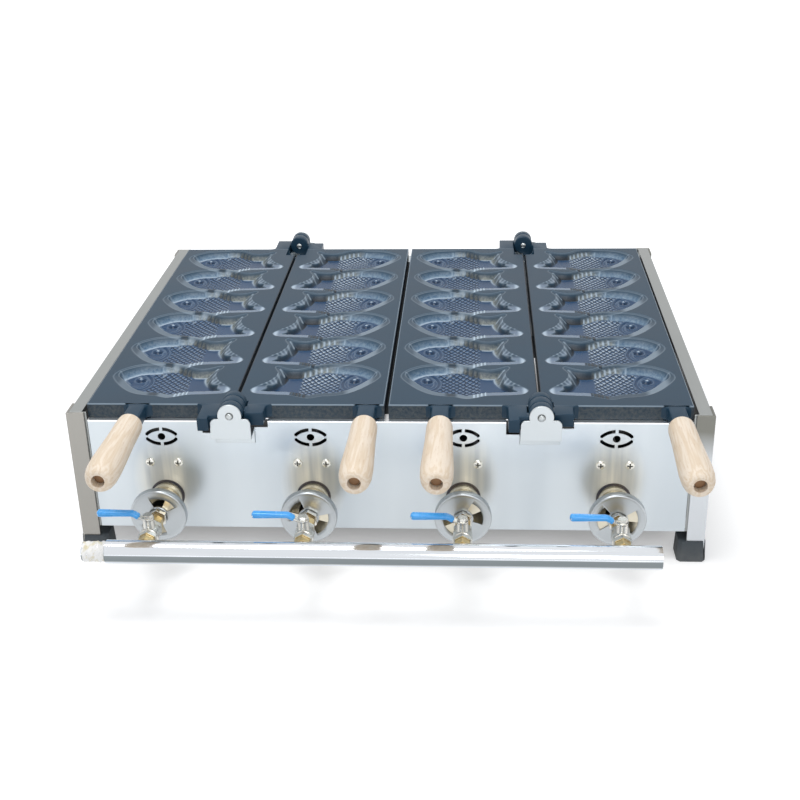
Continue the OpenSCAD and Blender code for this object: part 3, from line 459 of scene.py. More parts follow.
def mould_form(points):
    """The form of a mould at places in its own millimetres. Its depth runs down a wide shallow band on the
    near side, or a narrow one on the far side, then down a wall that slopes there, and on into the bowl of
    the body. Ribs, gill, eye and lips stand up from that. Gives the depth, and what its features measure."""
    rim, body = inside(points, rim_loop), inside(points, body_loop)
    x, y = points.T
    far = eased(y - 51 - 0.128 * (x - 22), -14, 14)
    fork = eased(-x, -30, -18) * eased(y, 30, 42)
    band = (11.0 - 8.5 * far) * (1 - fork) + 4.5 * fork
    run = (2.5 + 8.5 * far) * (1 - fork) + 6.0 * fork
    down = eased(rim, band, band + run)
    bowl = np.clip(np.minimum(body, rim - band - 0.6 * run) / 22, 0, 1)
    depth = 0.5 * eased(rim, 0, 1.0) + 0.9 * np.clip(rim / band, 0, 1) + 6.6 * down
    depth += 3.0 * (1 - (1 - bowl) ** 2)
    wall = down * (1 - eased(rim, band + 0.85 * run, band + 1.05 * run)) * far
    near = eased(rim, 0.5, 1.5) * eased(-rim, -band - 0.3, -band + 0.8) * (1 - far) * (1 - fork)

    tail, crease, folds = [ribs(points, lines, 1.3) for lines in (tail_ribs, tail_crease, dorsal_ribs)]
    spines, teeth = ribs(points, gill_spines, 1.1), ribs(points, ventral_ribs, 1.1)
    depth -= 1.3 * (tail + crease) * eased(depth, 3, 6) + 1.6 * folds * wall ** 0.5 + 1.2 * spines
    depth -= 1.2 * teeth * eased(rim, 1, 3)

    eye = np.hypot(x - eye_x, y - eye_y)
    cheek = np.hypot((x - cheek_x) / cheek_narrow, y - cheek_y)
    face = eased(rim, band + run, band + run + 2) * eased(-x, -134, -127)
    gill = sum(ridge(cheek - reach, 1.1) for reach in gill_reaches) * face
    ring, lips = ridge(eye - eye_ring, 1.0), ribs(points, lip_lines, 1.0)
    depth -= 1.0 * gill + 0.9 * ring + 2.6 * eased(-eye, -5.4, -3.6) + 0.8 * eased(-eye, -2.0, -1.2)
    depth -= 0.9 * lips
    return SimpleNamespace(x=x, depth=depth, rim=rim, band=band, run=run, far=far, down=down, wall=wall,
                           near=near, tail=tail, crease=crease, folds=folds, spines=spines, teeth=teeth,
                           eye=eye, cheek=cheek, face=face, gill=gill, ring=ring, lips=lips)


def coat_looks(form, tail_left):
    """Four looks of a mould's coat: how much of a place is floor, far wall and scales, from 0 to 1, and its
    painted light from -1 to 1. It holds edges and ribs worn bright, with painted highlights on them and on
    the near band, the wall feet, the eye and the lips, and painted shade in dark corners and grooves. A mould
    whose tail points left has its painted highlights and shade in other places than one whose tail points
    right, as its walls face the light another way."""
    x, rim, band, run, far = form.x, form.rim, form.band, form.run, form.far
    wall, near, folds = form.wall, form.near, form.folds
    floor = eased(form.down, 0.6, 1.0) * (1 - wall)
    scaly = eased(form.cheek, 27.5, 29.5) * (x < 118) * eased(x, 57, 60)
    scaly = scaly * eased(rim, band + 0.9 * run, band + run + 1)

    # The light built below is painted light: painted highlights where it rises, painted shade where it falls.
    light = 0.2 * ridge(rim - 0.5, 0.75)
    light += 0.24 * ridge(rim - band - 0.2, 0.8) * (1 - 0.6 * far * eased(-x, -100, -90))
    foot = ridge(rim - band - run, 1.2) * far
    head_foot, tail_foot = (0.1, 0.1) if tail_left else (0.75, 0.6)
    light += foot * np.where(x > 100, head_foot, np.where(x < 56, tail_foot, 0.05))
    light += (0.8 if tail_left else 0.2) * folds * wall ** 0.5 * eased(form.depth, 2, 4.5)
    light += 0.5 * form.crease * (form.depth > 2) + 0.3 * form.tail + 0.3 * form.spines
    light += 0.22 * form.lips + 0.16 * form.gill + 0.14 * form.ring + 0.8 * eased(-form.eye, -2.4, -1.2)
    light -= 0.45 * ridge(form.eye - 4.8, 1.3) + 0.3 * ridge(form.cheek - 23.5, 1.4) * form.face
    if tail_left:
        light += near * np.where(x < 50, 0.24, 0.03 + 0.28 * span(x, 112, 150, 10, 10))
        light -= 0.8 * near * (form.teeth < 0.4) * (x > 50) * (x < 70)
        light -= 0.8 * wall * eased(x, 36, 38) * (x < 59)
    else:
        light += near * np.where(x < 50, 0.24, 0.03 + 0.14 * span(x, 98, 146, 4, 8))
        light += near * (0.7 * form.teeth + 0.2 * span(x, 50, 88, 2, 4))
        light -= 0.5 * near * span(x, 88, 98, 2, 2)
        light -= 0.7 * wall * span(x, 57, 80, 2, 3) - 0.25 * wall * span(x, 79, 98, 2, 2)
    light += 0.5 * near * eased(-x, -10, -5)
    light -= 0.5 * (1 - far) * ridge(rim - band - 2.4, 1.2)
    floor = np.maximum(floor, near * (x < 50))
    in_mould = rim > -0.4
    return floor * in_mould, wall * (1 - folds.clip(0, 1)), scaly, np.clip(light * in_mould, -1, 1)


def graded(length, count, edge):
    """Places along a length: a few close together at its rounded ends, and even steps between them."""
    ends = np.array([0.0, 0.25, 0.6]) * edge
    middle = np.linspace(edge, length - edge, count)
    return np.concatenate([ends, middle, length - ends[::-1]])


across, along = graded(plate_w, 150, edge_r), graded(plate_l, 580, edge_r)
u, v = np.meshgrid(across, along)


def deck_height(right_hand):
    """Height of the deck over a grid of places: flat, with rounded edges, the half round cuts at the hinge
    and the moulds. Gives the heights and the four looks of the coat."""
    height, looks = np.zeros(u.shape), np.zeros((4, *u.shape))
    for k in range(mould_count):
        rows = np.abs(along - (fish_front + k * fish_pitch + fish_h / 2)) < fish_h / 2 + 1
        places = np.stack([u[rows] + hinge_gap / 2 - fish_x, v[rows] - fish_front - k * fish_pitch], axis=-1)
        form = mould_form(places.reshape(-1, 2))
        height[rows] = np.minimum(height[rows], -form.depth.reshape(u[rows].shape))
        for look, mark in zip(looks, coat_looks(form, right_hand)):
            look[rows] += mark.reshape(u[rows].shape)
    edge = np.minimum(np.minimum(u, plate_w - u), np.minimum(v, plate_l - v))
    height -= edge_r - np.sqrt(edge_r ** 2 - (edge_r - np.minimum(edge, edge_r)) ** 2)
    # Painted highlights along the plate's rounded edges, and painted shade along its hinge edge, which
    # darkens the gap between the plates.
    looks[3] = np.where(edge < edge_r, 0.35, looks[3])
    looks[3] = np.where(u < 0.7 * edge_r, -0.85, looks[3])
    from_pin = u + hinge_gap / 2
    cut = hinge_rise - np.sqrt(np.maximum(trough_r ** 2 - from_pin ** 2, 0))
    cuts = (v > plate_l - trough_l) | ((v < notch_l) & right_hand)
    height = np.where(cuts & (from_pin < trough_r), np.minimum(height, cut), height)
    return height, looks


def grid_quads(rows, columns):
    """Quads between the points of a grid that is stored row by row."""
    corner = (np.arange(rows - 1)[:, None] * columns + np.arange(columns - 1)).ravel()
    return np.stack([corner, corner + 1, corner + columns + 1, corner + columns], axis=1)


def border(rows, columns):
    """The points around a grid's edge, counter-clockwise from its first one."""
    index = np.arange(rows * columns).reshape(rows, columns)
    return np.concatenate([index[0, :-1], index[:-1, -1], index[-1, :0:-1], index[:0:-1, 0]])


def add_piece(name, points, faces, finish, body, slot, stands_for=(), sharp=None, **attributes):
    """Puts points in millimetres and arrays of faces into a mesh object that rides on a body. Edges sharper
    than an angle in degrees stay sharp, and each attribute has one value for each point."""
    mesh = bpy.data.meshes.new(name)
    points = np.asarray(points, float).reshape(-1, 3) * 0.001
    mesh.vertices.add(len(points))
    mesh.vertices.foreach_set("co", points.astype(np.float32).ravel())
    counts = np.concatenate([np.full(len(f), f.shape[1]) for f in faces])
    corners = np.concatenate([f.ravel() for f in faces]).astype(np.int32)
    mesh.loops.add(len(corners))
    mesh.loops.foreach_set("vertex_index", corners)
    mesh.polygons.add(len(counts))
    mesh.polygons.foreach_set("loop_start", (np.cumsum(counts) - counts).astype(np.int32))
    mesh.update(calc_edges=True)
    mesh.polygons.foreach_set("use_smooth", np.ones(len(counts), bool))
    for key, values in attributes.items():
        look = mesh.attributes.new(key, "FLOAT", "POINT")
        look.data.foreach_set("value", values.astype(np.float32).ravel())
    if sharp is not None:
        mesh.set_sharp_from_angle(angle=np.radians(sharp))
    mesh.materials.append(finish.owner)
    item = shown(name, mesh)
    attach(item, body)
    if stands_for:
        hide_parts(*stands_for)
    return item


coat = material("non_stick_coat", Specular_IOR_Level=0.27)
look_names = ("floor", "wall", "scaly", "light", "sides")


def look_of_coat(name):
    """A look that the plates' meshes carry at each point, as a wire."""
    return coat.node("ShaderNodeAttribute", {"attribute_name": name}, {})[2]


floor_look, wall_look, scaly, light, sides = (look_of_coat(name) for name in look_names)
point, x, y, z = coat.place()
peel = coat.noise(point, 1300.0)
cloud = coat.noise(point, 16.0, 3.0)
blot = coat.noise(point, 260.0, 4.0, 0.7)
speck = coat.ramp(blot, 0.36, 0.64)
swerve = coat.noise(point, 170.0, 1.0) * 3.0

# The scales are the tiles of a slanted lattice over each mould, with a dark joint and a painted glint on one
# side, a painted highlight that is stronger on the moulds whose tail points left, towards their far side.
mould_x = abs(abs(x) - hinge_x / 1000) * 1000.0 - fish_x
mould_y = ((y * 1000.0 - deck_y - fish_front) / fish_pitch).share() * fish_pitch
first, second = [((mould_x + swerve) / 8.0 + sign * mould_y / 9.2).share() for sign in (1.0, -1.0)]
tile = (first.least(1.0 - first).least(second).least(1.0 - second) * 5.0).held()
painted_glint = coat.ramp(second - first, -0.3, 0.6) * tile * coat.ramp(0.4 * mould_y - mould_x, -120.0, -50.0)
tail_left = coat.ramp((x / (2 * hinge_x / 1000)).share(), 0.49, 0.51)
painted_sheen = painted_glint * (0.3 + 0.6 * tail_left * coat.ramp(mould_y, 30.0, 70.0))
scales = coat.mix(tile, tone(6, 16, 30), coat.mix(painted_sheen, tone(34, 72, 110), tone(216, 230, 240)))

# The coat is dark on the decks, and bluer and lighter on the moulds' floors, a painted reflection. Their far
# walls are caked with crumbs that also carry a painted warm reflection, with painted shade on the tail walls
# of the moulds whose tail points left, and a painted pale reflection on the head walls.
deck = coat.mix(cloud, tone(19, 47, 66), tone(31, 61, 81))
smooth = coat.mix(floor_look, deck, coat.mix(cloud, tone(10, 46, 80), tone(24, 68, 106)))
crumbs_and_warm_reflection = coat.mix(speck, tone(84, 92, 94), tone(152, 155, 146))
painted_wall_shade = coat.mix(speck, tone(14, 24, 34), tone(38, 50, 62))
tail_wall = coat.mix(tail_left * coat.ramp(mould_x, 58.0, 55.0), crumbs_and_warm_reflection, painted_wall_shade)
head_wall_reflection = coat.mix(speck, tone(80, 112, 142), tone(140, 162, 180))
far_wall = coat.mix(coat.ramp(mould_x, 88.0, 98.0), tail_wall, head_wall_reflection)
coated = coat.mix(scaly, coat.mix(wall_look * 0.9, smooth, far_wall), scales)
coated = coat.mix(sides * 0.27, coated, coat.mix(speck, tone(64, 72, 80), tone(146, 143, 130)))
# Painted shade darkens the coat towards near black where the light look is below 0, and painted highlights
# lighten it towards a pale blue grey where it is above 0.
with_painted_shade = coat.mix((light * -1.0).held(), coated, tone(10, 13, 18))
coat.feed(Base_Color=coat.mix(light.held(), with_painted_shade, tone(194, 212, 227)),
          Roughness=0.36 + 0.08 * cloud - 0.14 * floor_look + 0.1 * wall_look,
          Normal=coat.bump(peel * 0.05 + tile * scaly + blot * wall_look * 0.3, 0.0008, 0.6))


def plate_points(side, hinge, across, along, height):
    """Places on a plate, from its own frame to the object's: across counts outward from the hinge line."""
    return np.stack([hinge + side * (across + hinge_gap / 2), along + deck_y, height + deck_z], axis=-1)


def under_height(across, along):
    """Height of the underside: a skirt all round, the hollow in it, and the pads under the moulds' bodies."""
    edge = np.minimum(plate_w - across, np.minimum(along, plate_l - along))
    hole = eased(edge, skirt, skirt + 1.5) * eased(across, hinge_skirt, hinge_skirt + 1.5)
    pads = np.zeros(across.shape)
    for k in range(mould_count):
        places = np.stack([across + hinge_gap / 2 - fish_x, along - fish_front - k * fish_pitch], axis=-1)
        far = inside(places.reshape(-1, 2), body_loop).reshape(across.shape)
        pads = np.maximum(pads, eased(far, -5.0, -2.5))
    return -plate_t + hollow * hole * (1 - pads)


tops = {-1: deck_height(False), 1: deck_height(True)}
under_u, under_v = np.meshgrid(np.linspace(0, plate_w, 31), np.linspace(0, plate_l, 99))
under_z = under_height(under_u, under_v)
loop = border(*u.shape)
size, ring = len(loop), np.arange(len(loop))
for i in (0, 1, 2, 3):
    side = 1 if i % 2 else -1
    height, looks = tops[side]
    top = plate_points(side, hinge_lines[i], u, v, height).reshape(-1, 3)
    under = plate_points(side, hinge_lines[i], under_u, under_v, under_z).reshape(-1, 3)
    lip = top[loop] - (0, 0, 0.4)
    low = lip * (1, 1, 0) + (0, 0, deck_z - plate_t)
    rows = [loop, len(top) + ring, len(top) + size + ring]
    walls = [np.stack([a, b, np.roll(b, -1), np.roll(a, -1)], axis=1) for a, b in zip(rows, rows[1:])]
    faces = [grid_quads(*u.shape), *walls, len(top) + 2 * size + grid_quads(*under_u.shape)[:, ::-1]]
    if side < 0:
        faces = [f[:, ::-1] for f in faces]
    plain = np.zeros(2 * size + len(under))
    on_sides = np.concatenate([np.ones(2 * size), np.zeros(len(under))])
    # Painted shade on the plates' side faces.
    more = (plain, plain, plain, -0.18 * on_sides)
    looks = [np.concatenate([look.ravel(), rest]) for look, rest in zip(looks, more)]
    looks.append(np.concatenate([np.zeros(len(top)), on_sides]))
    add_piece(f"fish_plate_{i + 1}", np.concatenate([top, lip, low, under]), faces, coat, f"plate_{i + 1}",
              "coated_casting", [f"mould_plate_{i + 1}"], sharp=62, **dict(zip(look_names, looks)))


# The hinge knuckles and the handle bosses: cast on the plates' edges, with the same coat. The outer knuckles
# belong to the left-hand plate, those between them to the right-hand one.
def skin(rings):
    """A closed skin over rings of equal counts, with a flat cap at each end, turned so that it faces out."""
    rings = np.asarray(rings, float)
    count, size = rings.shape[:2]
    points = rings.reshape(-1, 3)
    j = np.arange(size)
    ahead = (j + 1) % size
    quads = np.concatenate([np.stack([k * size + j, k * size + ahead, (k + 1) * size + ahead,
                                      (k + 1) * size + j], axis=1) for k in range(count - 1)])
    caps = [j[None, ::-1], (count - 1) * size + j[None]]
    centre = points.mean(0)
    volume = 0.0
    for face in (quads, *caps):
        a = points[face[:, :1]] - centre
        b, c = points[face[:, 1:-1]] - centre, points[face[:, 2:]] - centre
        volume += (a * np.cross(b, c)).sum()
    faces = [quads, *caps]
    return points, faces if volume > 0 else [face[:, ::-1] for face in faces]


def joined(parts):
    """Several skins as one mesh."""
    starts = np.cumsum([0] + [len(points) for points, _ in parts[:-1]])
    faces = [face + start for (_, skins), start in zip(parts, starts) for face in skins]
    return np.concatenate([points for points, _ in parts]), faces


def circle(radius):
    """48 points of a circle about the axis, as x and z."""
    turn = np.linspace(0, 2 * np.pi, 48, endpoint=False)
    return np.stack([radius * np.cos(turn), radius * np.sin(turn)], axis=1)


def block(x1, x2, z1, z2, corner=1.5, count=4):
    """Points of a rectangle whose corners are quarter circles, as x and z."""
    turn = np.linspace(0, np.pi / 2, count)
    arcs = [np.stack([cx + corner * np.cos(turn + q), cz + corner * np.sin(turn + q)], axis=1)
            for q, cx, cz in ((0, x2 - corner, z2 - corner), (np.pi / 2, x1 + corner, z2 - corner),
                              (np.pi, x1 + corner, z1 + corner), (1.5 * np.pi, x2 - corner, z1 + corner))]
    return np.concatenate(arcs)


def bar(section, y1, y2, place, edge=1.0):
    """A bar along Y over a section of x and z, whose ends draw in over a quarter circle."""
    middle = (section.max(0) + section.min(0)) / 2
    reach = (section.max(0) - section.min(0)) / 2
    turn = np.linspace(0, np.pi / 2, 4)
    inset, back = edge * (1 - np.sin(turn)), edge * (1 - np.cos(turn))
    rings = []
    for s, y in [*zip(inset, y1 + back), *zip(inset[::-1], y2 - back[::-1])]:
        drawn = middle + (section - middle) * (1 - s / reach)
        rings.append(np.stack([drawn[:, 0], np.full(len(drawn), y), drawn[:, 1]], axis=1) + place)
    return skin(rings)


def drawn_in(loop, amount):
    """A closed outline moved inward by an amount, each corner along the middle of its two sides' normals."""
    ahead, behind = np.roll(loop, -1, axis=0) - loop, loop - np.roll(loop, 1, axis=0)
    normals = [np.stack([d[:, 1], -d[:, 0]], axis=1) / np.hypot(*d.T)[:, None] for d in (behind, ahead)]
    middle = normals[0] + normals[1]
    turn = np.sign((loop[:, 0] * np.roll(loop[:, 1], -1) - loop[:, 1] * np.roll(loop[:, 0], -1)).sum())
    return loop - turn * amount * middle / np.maximum((middle * normals[0]).sum(1), 0.3)[:, None]


def plate_of(loop, z1, z2, edge, place):
    """A flat piece over an outline of x and y, its edges rounded over a quarter circle."""
    turn = np.linspace(0, np.pi / 2, 4)
    inset, rise = edge * (1 - np.sin(turn)), edge * (1 - np.cos(turn))
    stations = [*zip(inset, z1 + rise), *zip(inset[::-1], z2 - rise[::-1])]
    return skin([np.concatenate([drawn_in(loop, s), np.full((len(loop), 1), z)], axis=1) + place
                 for s, z in stations])


def fillet(x, y, start, radius):
    """Places on a quarter circle about (x, y), from a start angle in degrees, turning clockwise."""
    turn = np.radians(start - np.linspace(0, 90, 7))
    return [(x + radius * np.cos(t), y + radius * np.sin(t)) for t in turn]


# Sizes in millimetres from a plate's hinge line, its front edge and its deck.
knuckle_r, arm_out, tab_out, tab_low, clear_x, corner_r, sunk = 14.0, 17.2, 37.0, -16.3, 15.2, 7.0, 2
boss_half, boss_l = 10.0, 39.0
front_corner = [*fillet(tab_out + corner_r, -corner_r, 180, corner_r), (tab_out + corner_r, sunk)]
rear_corner = [(tab_out + corner_r, plate_l - sunk),
               *fillet(tab_out + corner_r, plate_l + corner_r, 270, corner_r)]
left_front = [(clear_x, sunk), (clear_x, -30.5), (24.7, -30.5), (24.7, -39), (tab_out, -39), *front_corner]
left_rear = [(clear_x, plate_l - sunk), *rear_corner, (tab_out, 620.5), (clear_x, 620.5)]
right_front = [(clear_x, sunk), (clear_x, -23.5), (tab_out, -23.5), *front_corner]
right_rear = [(clear_x, plate_l - sunk), *rear_corner, (tab_out, 608.5), (clear_x, 608.5)]
boss_side = fillet(boss_half + corner_r, -corner_r, 180, corner_r)
boss_plan = [(boss_half, -boss_l), *boss_side, (boss_half + corner_r, sunk), (-boss_half - corner_r, sunk),
             *[(-x, y) for x, y in boss_side[::-1]], (-boss_half, -boss_l)]
left_ends, right_ends = [(-30.5, 11.5), (609.0, 11.5)], [(-18.5, 14.0), (592.5, 16.0)]
left_lugs = ([left_ends[0], (-4.0, 12.0), left_ends[1]], left_ends, [left_front, left_rear], 115.0)
right_lugs = (right_ends, right_ends, [right_front, right_rear], 155.5)
for i in (0, 1, 2, 3):
    side = 1 if i % 2 else -1
    knuckles, arms, tabs, boss_x = right_lugs if i % 2 else left_lugs
    origin = np.array([hinge_lines[i], deck_y, deck_z])
    mirrored = (side, 1.0)
    parts = [bar(circle(knuckle_r), y, y + w, origin + (0, 0, hinge_rise), edge=1.6) for y, w in knuckles]
    parts += [bar(block(0.0, arm_out, tab_low, 0.0) * mirrored, y + 0.3, y + w - 0.3, origin, edge=0.8)
              for y, w in arms]
    parts += [plate_of(np.array(tab) * mirrored, tab_low, -0.02, 1.3, origin) for tab in tabs]
    parts.append(plate_of(np.array(boss_plan), -plate_t + 0.02, -0.02, 2.8, origin + (side * boss_x, 0, 0)))
    points, faces = joined(parts)
    add_piece(f"plate_lugs_{i + 1}", points, faces, coat, f"plate_{i + 1}", "coated_casting", sharp=40)

# The hinges: brackets folded from thick bright sheet, with a painted dark ring, painted shade, around each
# pin.
# The pins are turned from steel and riveted, so that low domed heads show.
bracket_finish, cloud = hairlined("bracket_sheet", 0.36, "z")
point, x, y, z = bracket_finish.place()
pin_z = (deck_z + hinge_rise) / 1000
from_axis = ((abs(x) - hinge_x / 1000) ** 2.0 + (z - pin_z) ** 2.0) ** 0.5
painted_ring_shade = bracket_finish.ramp(abs(from_axis - 0.0042), 0.0009, 0.0003)
bright = clouded(bracket_finish, cloud, tone(196, 202, 205))
bracket_finish.feed(Base_Color=bracket_finish.mix(painted_ring_shade, bright, tone(132, 134, 134)))
worked(bracket_finish, 0.7, *(f"hinge_bracket_{end}_{p}" for end in ("front", "rear") for p in (1, 2)))


def turned(profile, place):
    """A turned piece along Y: its profile gives a radius and how far along, from the front to the back."""
    x, z = circle(1.0).T
    return skin([np.stack([r * x, np.full(len(x), at), r * z], axis=1) + place for r, at in profile])


pin_finish = brushed("turned_pins", tone(184, 189, 190), 0.34, "y")
pin_r, head_r, head_h = 3.5, 3.7, 1.5
front_pin_end, rear_pin_start = deck_y + 8, deck_y + 591.5
low, high = [np.array(corner)[1] * 1000 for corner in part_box("hinge_pins")]
turn = np.linspace(0, np.pi / 2, 7)
dome = [(max(head_r * np.sin(t), 0.05), -head_h * np.cos(t)) for t in turn]
front_pin = [(r, low + head_h + back) for r, back in dome]
front_pin += [(head_r, low + 2 * head_h), (pin_r, low + 2 * head_h), (pin_r, front_pin_end)]
rear_pin = [(r * 1.1, rear_pin_start + back) for r, back in dome]
rear_pin += [(pin_r, rear_pin_start + 1.1), (pin_r, high - 2 * head_h), (head_r, high - 2 * head_h)]
rear_pin += [(r, high - head_h - back) for r, back in dome[::-1]]
pins = [turned(profile, (hinge, 0, deck_z + hinge_rise))
        for hinge in (-hinge_x, hinge_x) for profile in (front_pin, rear_pin)]
points, faces = joined(pins)
add_piece("riveted_pins", points, faces, pin_finish, "cabinet", "pin_steel", ["hinge_pins"], sharp=50)

# The handles: turned beech grips, unvarnished, with fine grain along their length and short darker flecks, on
# steel rods that the heat has browned.
dress(brushed("smoked_rods", tone(132, 104, 80), 0.5, "y"), *(f"handle_rod_{i}" for i in (1, 2, 3, 4)))
wood = material("turned_beech")
point = wood.place()[0]
rings = wood.noise(wood.stretched(point, 60.0, 3.5, 60.0), 1.0, 3.0, 0.55)
flecks = wood.noise(wood.stretched(point, 700.0, 70.0, 700.0), 1.0, 2.0, 0.6)
bands = rings.math("SINE", rings * 46.0) * 0.5 + 0.5
grain = wood.mix(bands * 0.7, tone(235, 221, 203), tone(218, 197, 169))
wood.feed(Base_Color=wood.mix(wood.ramp(flecks, 0.58, 0.72) * 0.4, grain, tone(200, 168, 136)),
          Roughness=0.5 + 0.15 * flecks, Normal=wood.bump(flecks, 0.00012, 0.35))
dress(wood, "grip_1", "grip_2", "grip_3", "grip_4")


# The ball valves with their levers, and the shutters' lock nuts: forged or turned, then nickel plated. The
# plating is a little dull in places.
def patchy(name, dull, clear, rough, patch, grain, height, detail=3.0, metallic=1.0):
    """Metal in patches of a dull, smooth tone and a clear, rougher one, over a fine grain."""
    metal = material(name, Metallic=metallic)
    point = metal.place()[0]
    cloud = metal.noise(point, patch, detail)
    metal.feed(Base_Color=metal.mix(cloud, dull, clear), Roughness=rough + 0.16 * cloud,
               Normal=metal.bump(metal.noise(point, grain), height, 0.4))
    return metal


nickel = patchy("dull_nickel", tone(196, 194, 186), tone(222, 221, 216), 0.18, 60.0, 800.0, 0.00005)
worked(nickel, 0.4, *(f"valve_body_{i}" for i in (1, 2, 3, 4)), *(f"valve_lever_{i}" for i in (1, 2, 3, 4)),
       "shutter_lock_nuts")

# The mixing tubes: steel tubes from the burners out through the front panel, stepped at their front ends. The
# heat has tanned them.
tan = patchy("heat_tanned_tube", tone(196, 188, 166), tone(224, 219, 204), 0.22, 50.0, 600.0, 0.00008,
             detail=4.0, metallic=0.9)
dress(tan, *(f"mixing_tube_{i}" for i in (1, 2, 3, 4)))

# The air shutters: spun from satin steel sheet, with a rolled rim and two openings across from each other.
# Each is turned to its own angle.
spun = brushed("spun_shutter_steel", tone(178, 183, 186), 0.3, "y")
shutter_turns, slices, open_slices = (70, 152, 23, -7), 180, 41
hole_out, hole_in, nut_r, face_back = 23.2, 12.0, 8.3, 0.55
steps = np.arange(slices)
ahead = (steps + 1) % slices
for i, opened in enumerate(shutter_turns, 1):
    low, high = [np.array(corner) * 1000 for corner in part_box(f"air_shutter_{i}")]
    middle, front, reach = (low + high) / 2, low[1], (high[0] - low[0]) / 2
    rim = [(reach, high[1]), (reach, front + 1.6), (reach - 0.5, front + 0.5), (reach - 1.3, front),
           (reach - 2.2, front + 0.1), (reach - 3.0, front + 0.5), (reach - 4.2, front + face_back)]
    profile = rim + [(r, front + face_back) for r in (hole_out, hole_in, nut_r)]
    turn = np.radians(opened - open_slices + 2.0 * steps)
    x, z = np.cos(turn), np.sin(turn)
    rings = np.array([np.stack([middle[0] + r * x, np.full(slices, at), middle[2] + r * z], axis=1)
                      for r, at in profile])
    quads = np.stack([np.stack([k * slices + steps, k * slices + ahead, (k + 1) * slices + ahead,
                                (k + 1) * slices + steps], axis=1) for k in range(len(profile) - 1)])
    open_cells = (np.arange(len(profile) - 1) == len(rim))[:, None] & (steps % (slices // 2) < open_slices)
    item = add_piece(f"spun_shutter_{i}", rings, [quads[~open_cells]], spun, f"shutter_{i}", "shutter_steel",
                     [f"air_shutter_{i}"], sharp=50)
    sheet = item.modifiers.new("sheet", "SOLIDIFY")
    sheet.thickness, sheet.offset = 0.001, -1.0

# The gas jets and the nuts between the valves and the pipe: machined from hexagon bar of brass, which has
# dulled in patches.
brass = patchy("machined_brass", tone(188, 162, 112), tone(228, 208, 160), 0.22, 70.0, 700.0, 0.00005)
worked(brass, 0.5, "gas_jets", "inlet_nuts")

# The levers' sleeves: blue vinyl, which a hot lever is dipped in. The sleeve follows the lever's crank, and
# it is thickest towards its round end.
vinyl = material("dipped_vinyl", Coat_Weight=0.4)
point = vinyl.place()[0]
cloud = vinyl.noise(point, 90.0, 3.0)
vinyl.feed(Base_Color=vinyl.mix(cloud, tone(44, 152, 234), tone(76, 176, 246)),
           Roughness=0.22 + 0.1 * cloud, Normal=vinyl.bump(cloud, 0.0002, 0.3))
sleeve_start, stem_off, crank = 10.0, 19.0, 6.0


def rise_of_lever(along):
    """How high a lever stands over its start: eased up by the crank between 6 and 19 mm from the stem."""
    return crank * eased(along, 6.0, 19.0)


for i in (1, 2, 3, 4):
    low, high = [np.array(corner) * 1000 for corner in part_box(f"lever_sleeve_{i}")]
    middle = (low + high) / 2
    stem = high[0] + stem_off
    end = stem - low[0]
    turn = np.linspace(0, np.pi / 2, 6)
    straight = np.linspace(sleeve_start + 3.2, end - 4.0, 30)
    along_it = np.concatenate([sleeve_start + 2.2 * (1 - np.cos(turn)), straight,
                               end - 3.2 * (1 - np.sin(turn))])
    grown = np.concatenate([0.55 + 0.45 * np.sin(turn), np.ones(30), 0.02 + 0.98 * np.cos(turn)])
    tilt = (rise_of_lever(along_it + 0.5) - rise_of_lever(along_it - 0.5))[:, None]
    section = block(-4.6, 4.6, -2.8, 2.8, 2.4, 6)
    across_it = section[:, 0] * grown[:, None]
    up = section[:, 1] * (grown * (1.0 + 0.3 * eased(along_it, 18.0, end)))[:, None]
    lean = np.hypot(1, tilt)
    rings = np.stack([stem - along_it[:, None] + up * tilt / lean, middle[1] + across_it,
                      middle[2] - crank + rise_of_lever(along_it)[:, None] + up / lean], axis=-1)
    points, faces = skin(rings)
    add_piece(f"vinyl_sleeve_{i}", points, faces, vinyl, f"lever_{i}", "blue_vinyl",
              [f"lever_sleeve_{i}"], sharp=60)

# The gas pipe: chrome plated steel along the whole front, with its end cap and its threaded inlet. A dull
# grey band along its lower side is a painted dark reflection.
chrome = material("pipe_chrome", Metallic=1.0)
point, x, y, z = chrome.place()
smear = chrome.noise(chrome.stretched(point, 6.0, 60.0, 60.0), 1.0, 4.0)
low, high = [np.array(corner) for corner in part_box("gas_pipe")]
middle, reach = (low + high) / 2, (high[2] - low[2]) / 2
turned_up = ((y - middle[1]) * 0.545 + (z - middle[2]) * 0.839) / reach + 0.1 * smear
# A painted dark reflection in a band along the pipe's lower front.
dull = chrome.ramp(abs(turned_up + 0.55), 0.3, 0.2) * 0.9
clean = chrome.mix(smear, tone(214, 219, 225), tone(236, 239, 243))
chrome.feed(Base_Color=chrome.mix(dull, clean, tone(104, 112, 114)),
            Roughness=0.06 + 0.08 * smear, Normal=chrome.bump(smear, 0.0001, 0.25))
dress(chrome, "gas_pipe", "pipe_end_cap", "inlet_nipple")

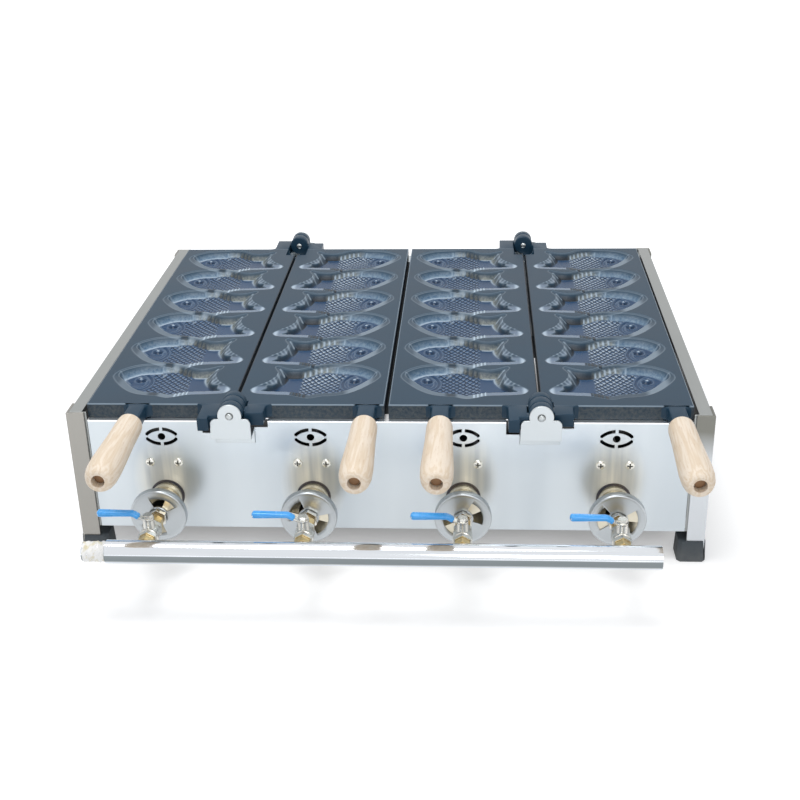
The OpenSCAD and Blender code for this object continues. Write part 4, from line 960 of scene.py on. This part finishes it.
# The burners' screws: zinc plated, two over each burner, with a domed pan head and a cross recess. The recess
# is in the finish alone: a bump, and painted shade that darkens it.
screw_off, screw_z, head_r, head_h, head_back, shank_r, shank_back = 17.0, 127.5, 5.6, 2.4, 3.1, 2.5, 9.0
zinc = material("zinc_pan_heads", Metallic=1.0)
point, x, y, z = zinc.place()
beside = abs(abs(abs(abs(x) - hinge_x / 1000) - burner_off / 1000) - screw_off / 1000)
above = abs(z - screw_z / 1000)
recess_painted_dark = zinc.ramp(beside.least(above), 0.0009, 0.0005) * zinc.ramp(beside.most(above), 0.0036, 0.0030)
cloud = zinc.noise(point, 300.0, 2.0)
plating = zinc.mix(cloud, tone(208, 206, 196), tone(236, 235, 228))
zinc.feed(Base_Color=zinc.mix(recess_painted_dark, plating, tone(70, 68, 62)),
          Roughness=0.2 + 0.15 * cloud, Normal=zinc.bump(1.0 - recess_painted_dark, 0.0008))
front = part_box("burner_screws")[0][1] * 1000
turn = np.linspace(0, np.pi / 2, 8)
head = [(max(head_r * np.sin(t), 0.05), front + head_h - head_h * np.cos(t)) for t in turn]
screw = head + [(head_r, front + head_back), (shank_r, front + head_back), (shank_r, front + shank_back)]
screws = [turned(screw, (x, 0, screw_z)) for burner in burners
          for x in (burner - screw_off, burner + screw_off)]
points, faces = joined(screws)
add_piece("pan_screws", points, faces, zinc, "cabinet", "zinc_screw", ["burner_screws"], sharp=60)

# The vents' webs: the upper and lower slots of a vent end before they meet, and a narrow web of the panel's
# sheet stays between their tips.
tip, web_half_l, web_half_h, web_start, web_end = 20.8, 3.6, 1.5, 0.02, 1.4
web_z = vent_z * 1000
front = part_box("front_panel")[0][1] * 1000
webs = [block(x - web_half_l, x + web_half_l, web_z - web_half_h, web_z + web_half_h, 0.2)
        for burner in burners for x in (burner - tip, burner + tip)]
webs = [bar(web, front + web_start, front + web_end, (0, 0, 0), edge=0.1) for web in webs]
points, faces = joined(webs)
add_piece("vent_webs", points, faces, panel, "cabinet", slot_of["front_panel"])

# The inlet's tape: white sealing tape, wound over the thread by hand. It is crumpled, and yellowed in places.
# Three waves around and along the winding give its folds.
tape = material("crumpled_tape")
point = tape.place()[0]
cloud = tape.noise(point, 120.0, 3.0)
fine = tape.noise(point, 900.0, 3.0)
tape.feed(Base_Color=tape.mix(tape.ramp(cloud, 0.5, 0.66), tone(246, 246, 244), tone(226, 218, 190)),
          Roughness=0.5 + 0.2 * fine, Normal=tape.bump(fine, 0.0004, 0.6))
tape_r, tape_l = 11.3, 25.0
low, high = [np.array(corner) * 1000 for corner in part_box("inlet_nipple")]
middle = (low + high) / 2
along_it = np.linspace(low[0] + 1.0, low[0] + 1.0 + tape_l, 60)[:, None]
turn = np.linspace(0, 2 * np.pi, 96, endpoint=False)
radius = tape_r + 0.35 * np.sin(along_it * 1.15 + turn) + 0.3 * np.sin(5 * turn - 0.7 * along_it) \
    + 0.25 * np.sin(9 * turn + 1.3 * along_it)
radius[[0, -1]] -= 0.7
rings = np.stack([np.broadcast_to(along_it, radius.shape), middle[1] + radius * np.cos(turn),
                  middle[2] + radius * np.sin(turn)], axis=-1)
points, faces = skin(rings)
add_piece("thread_tape", points, faces, tape, "cabinet", "ptfe_tape")
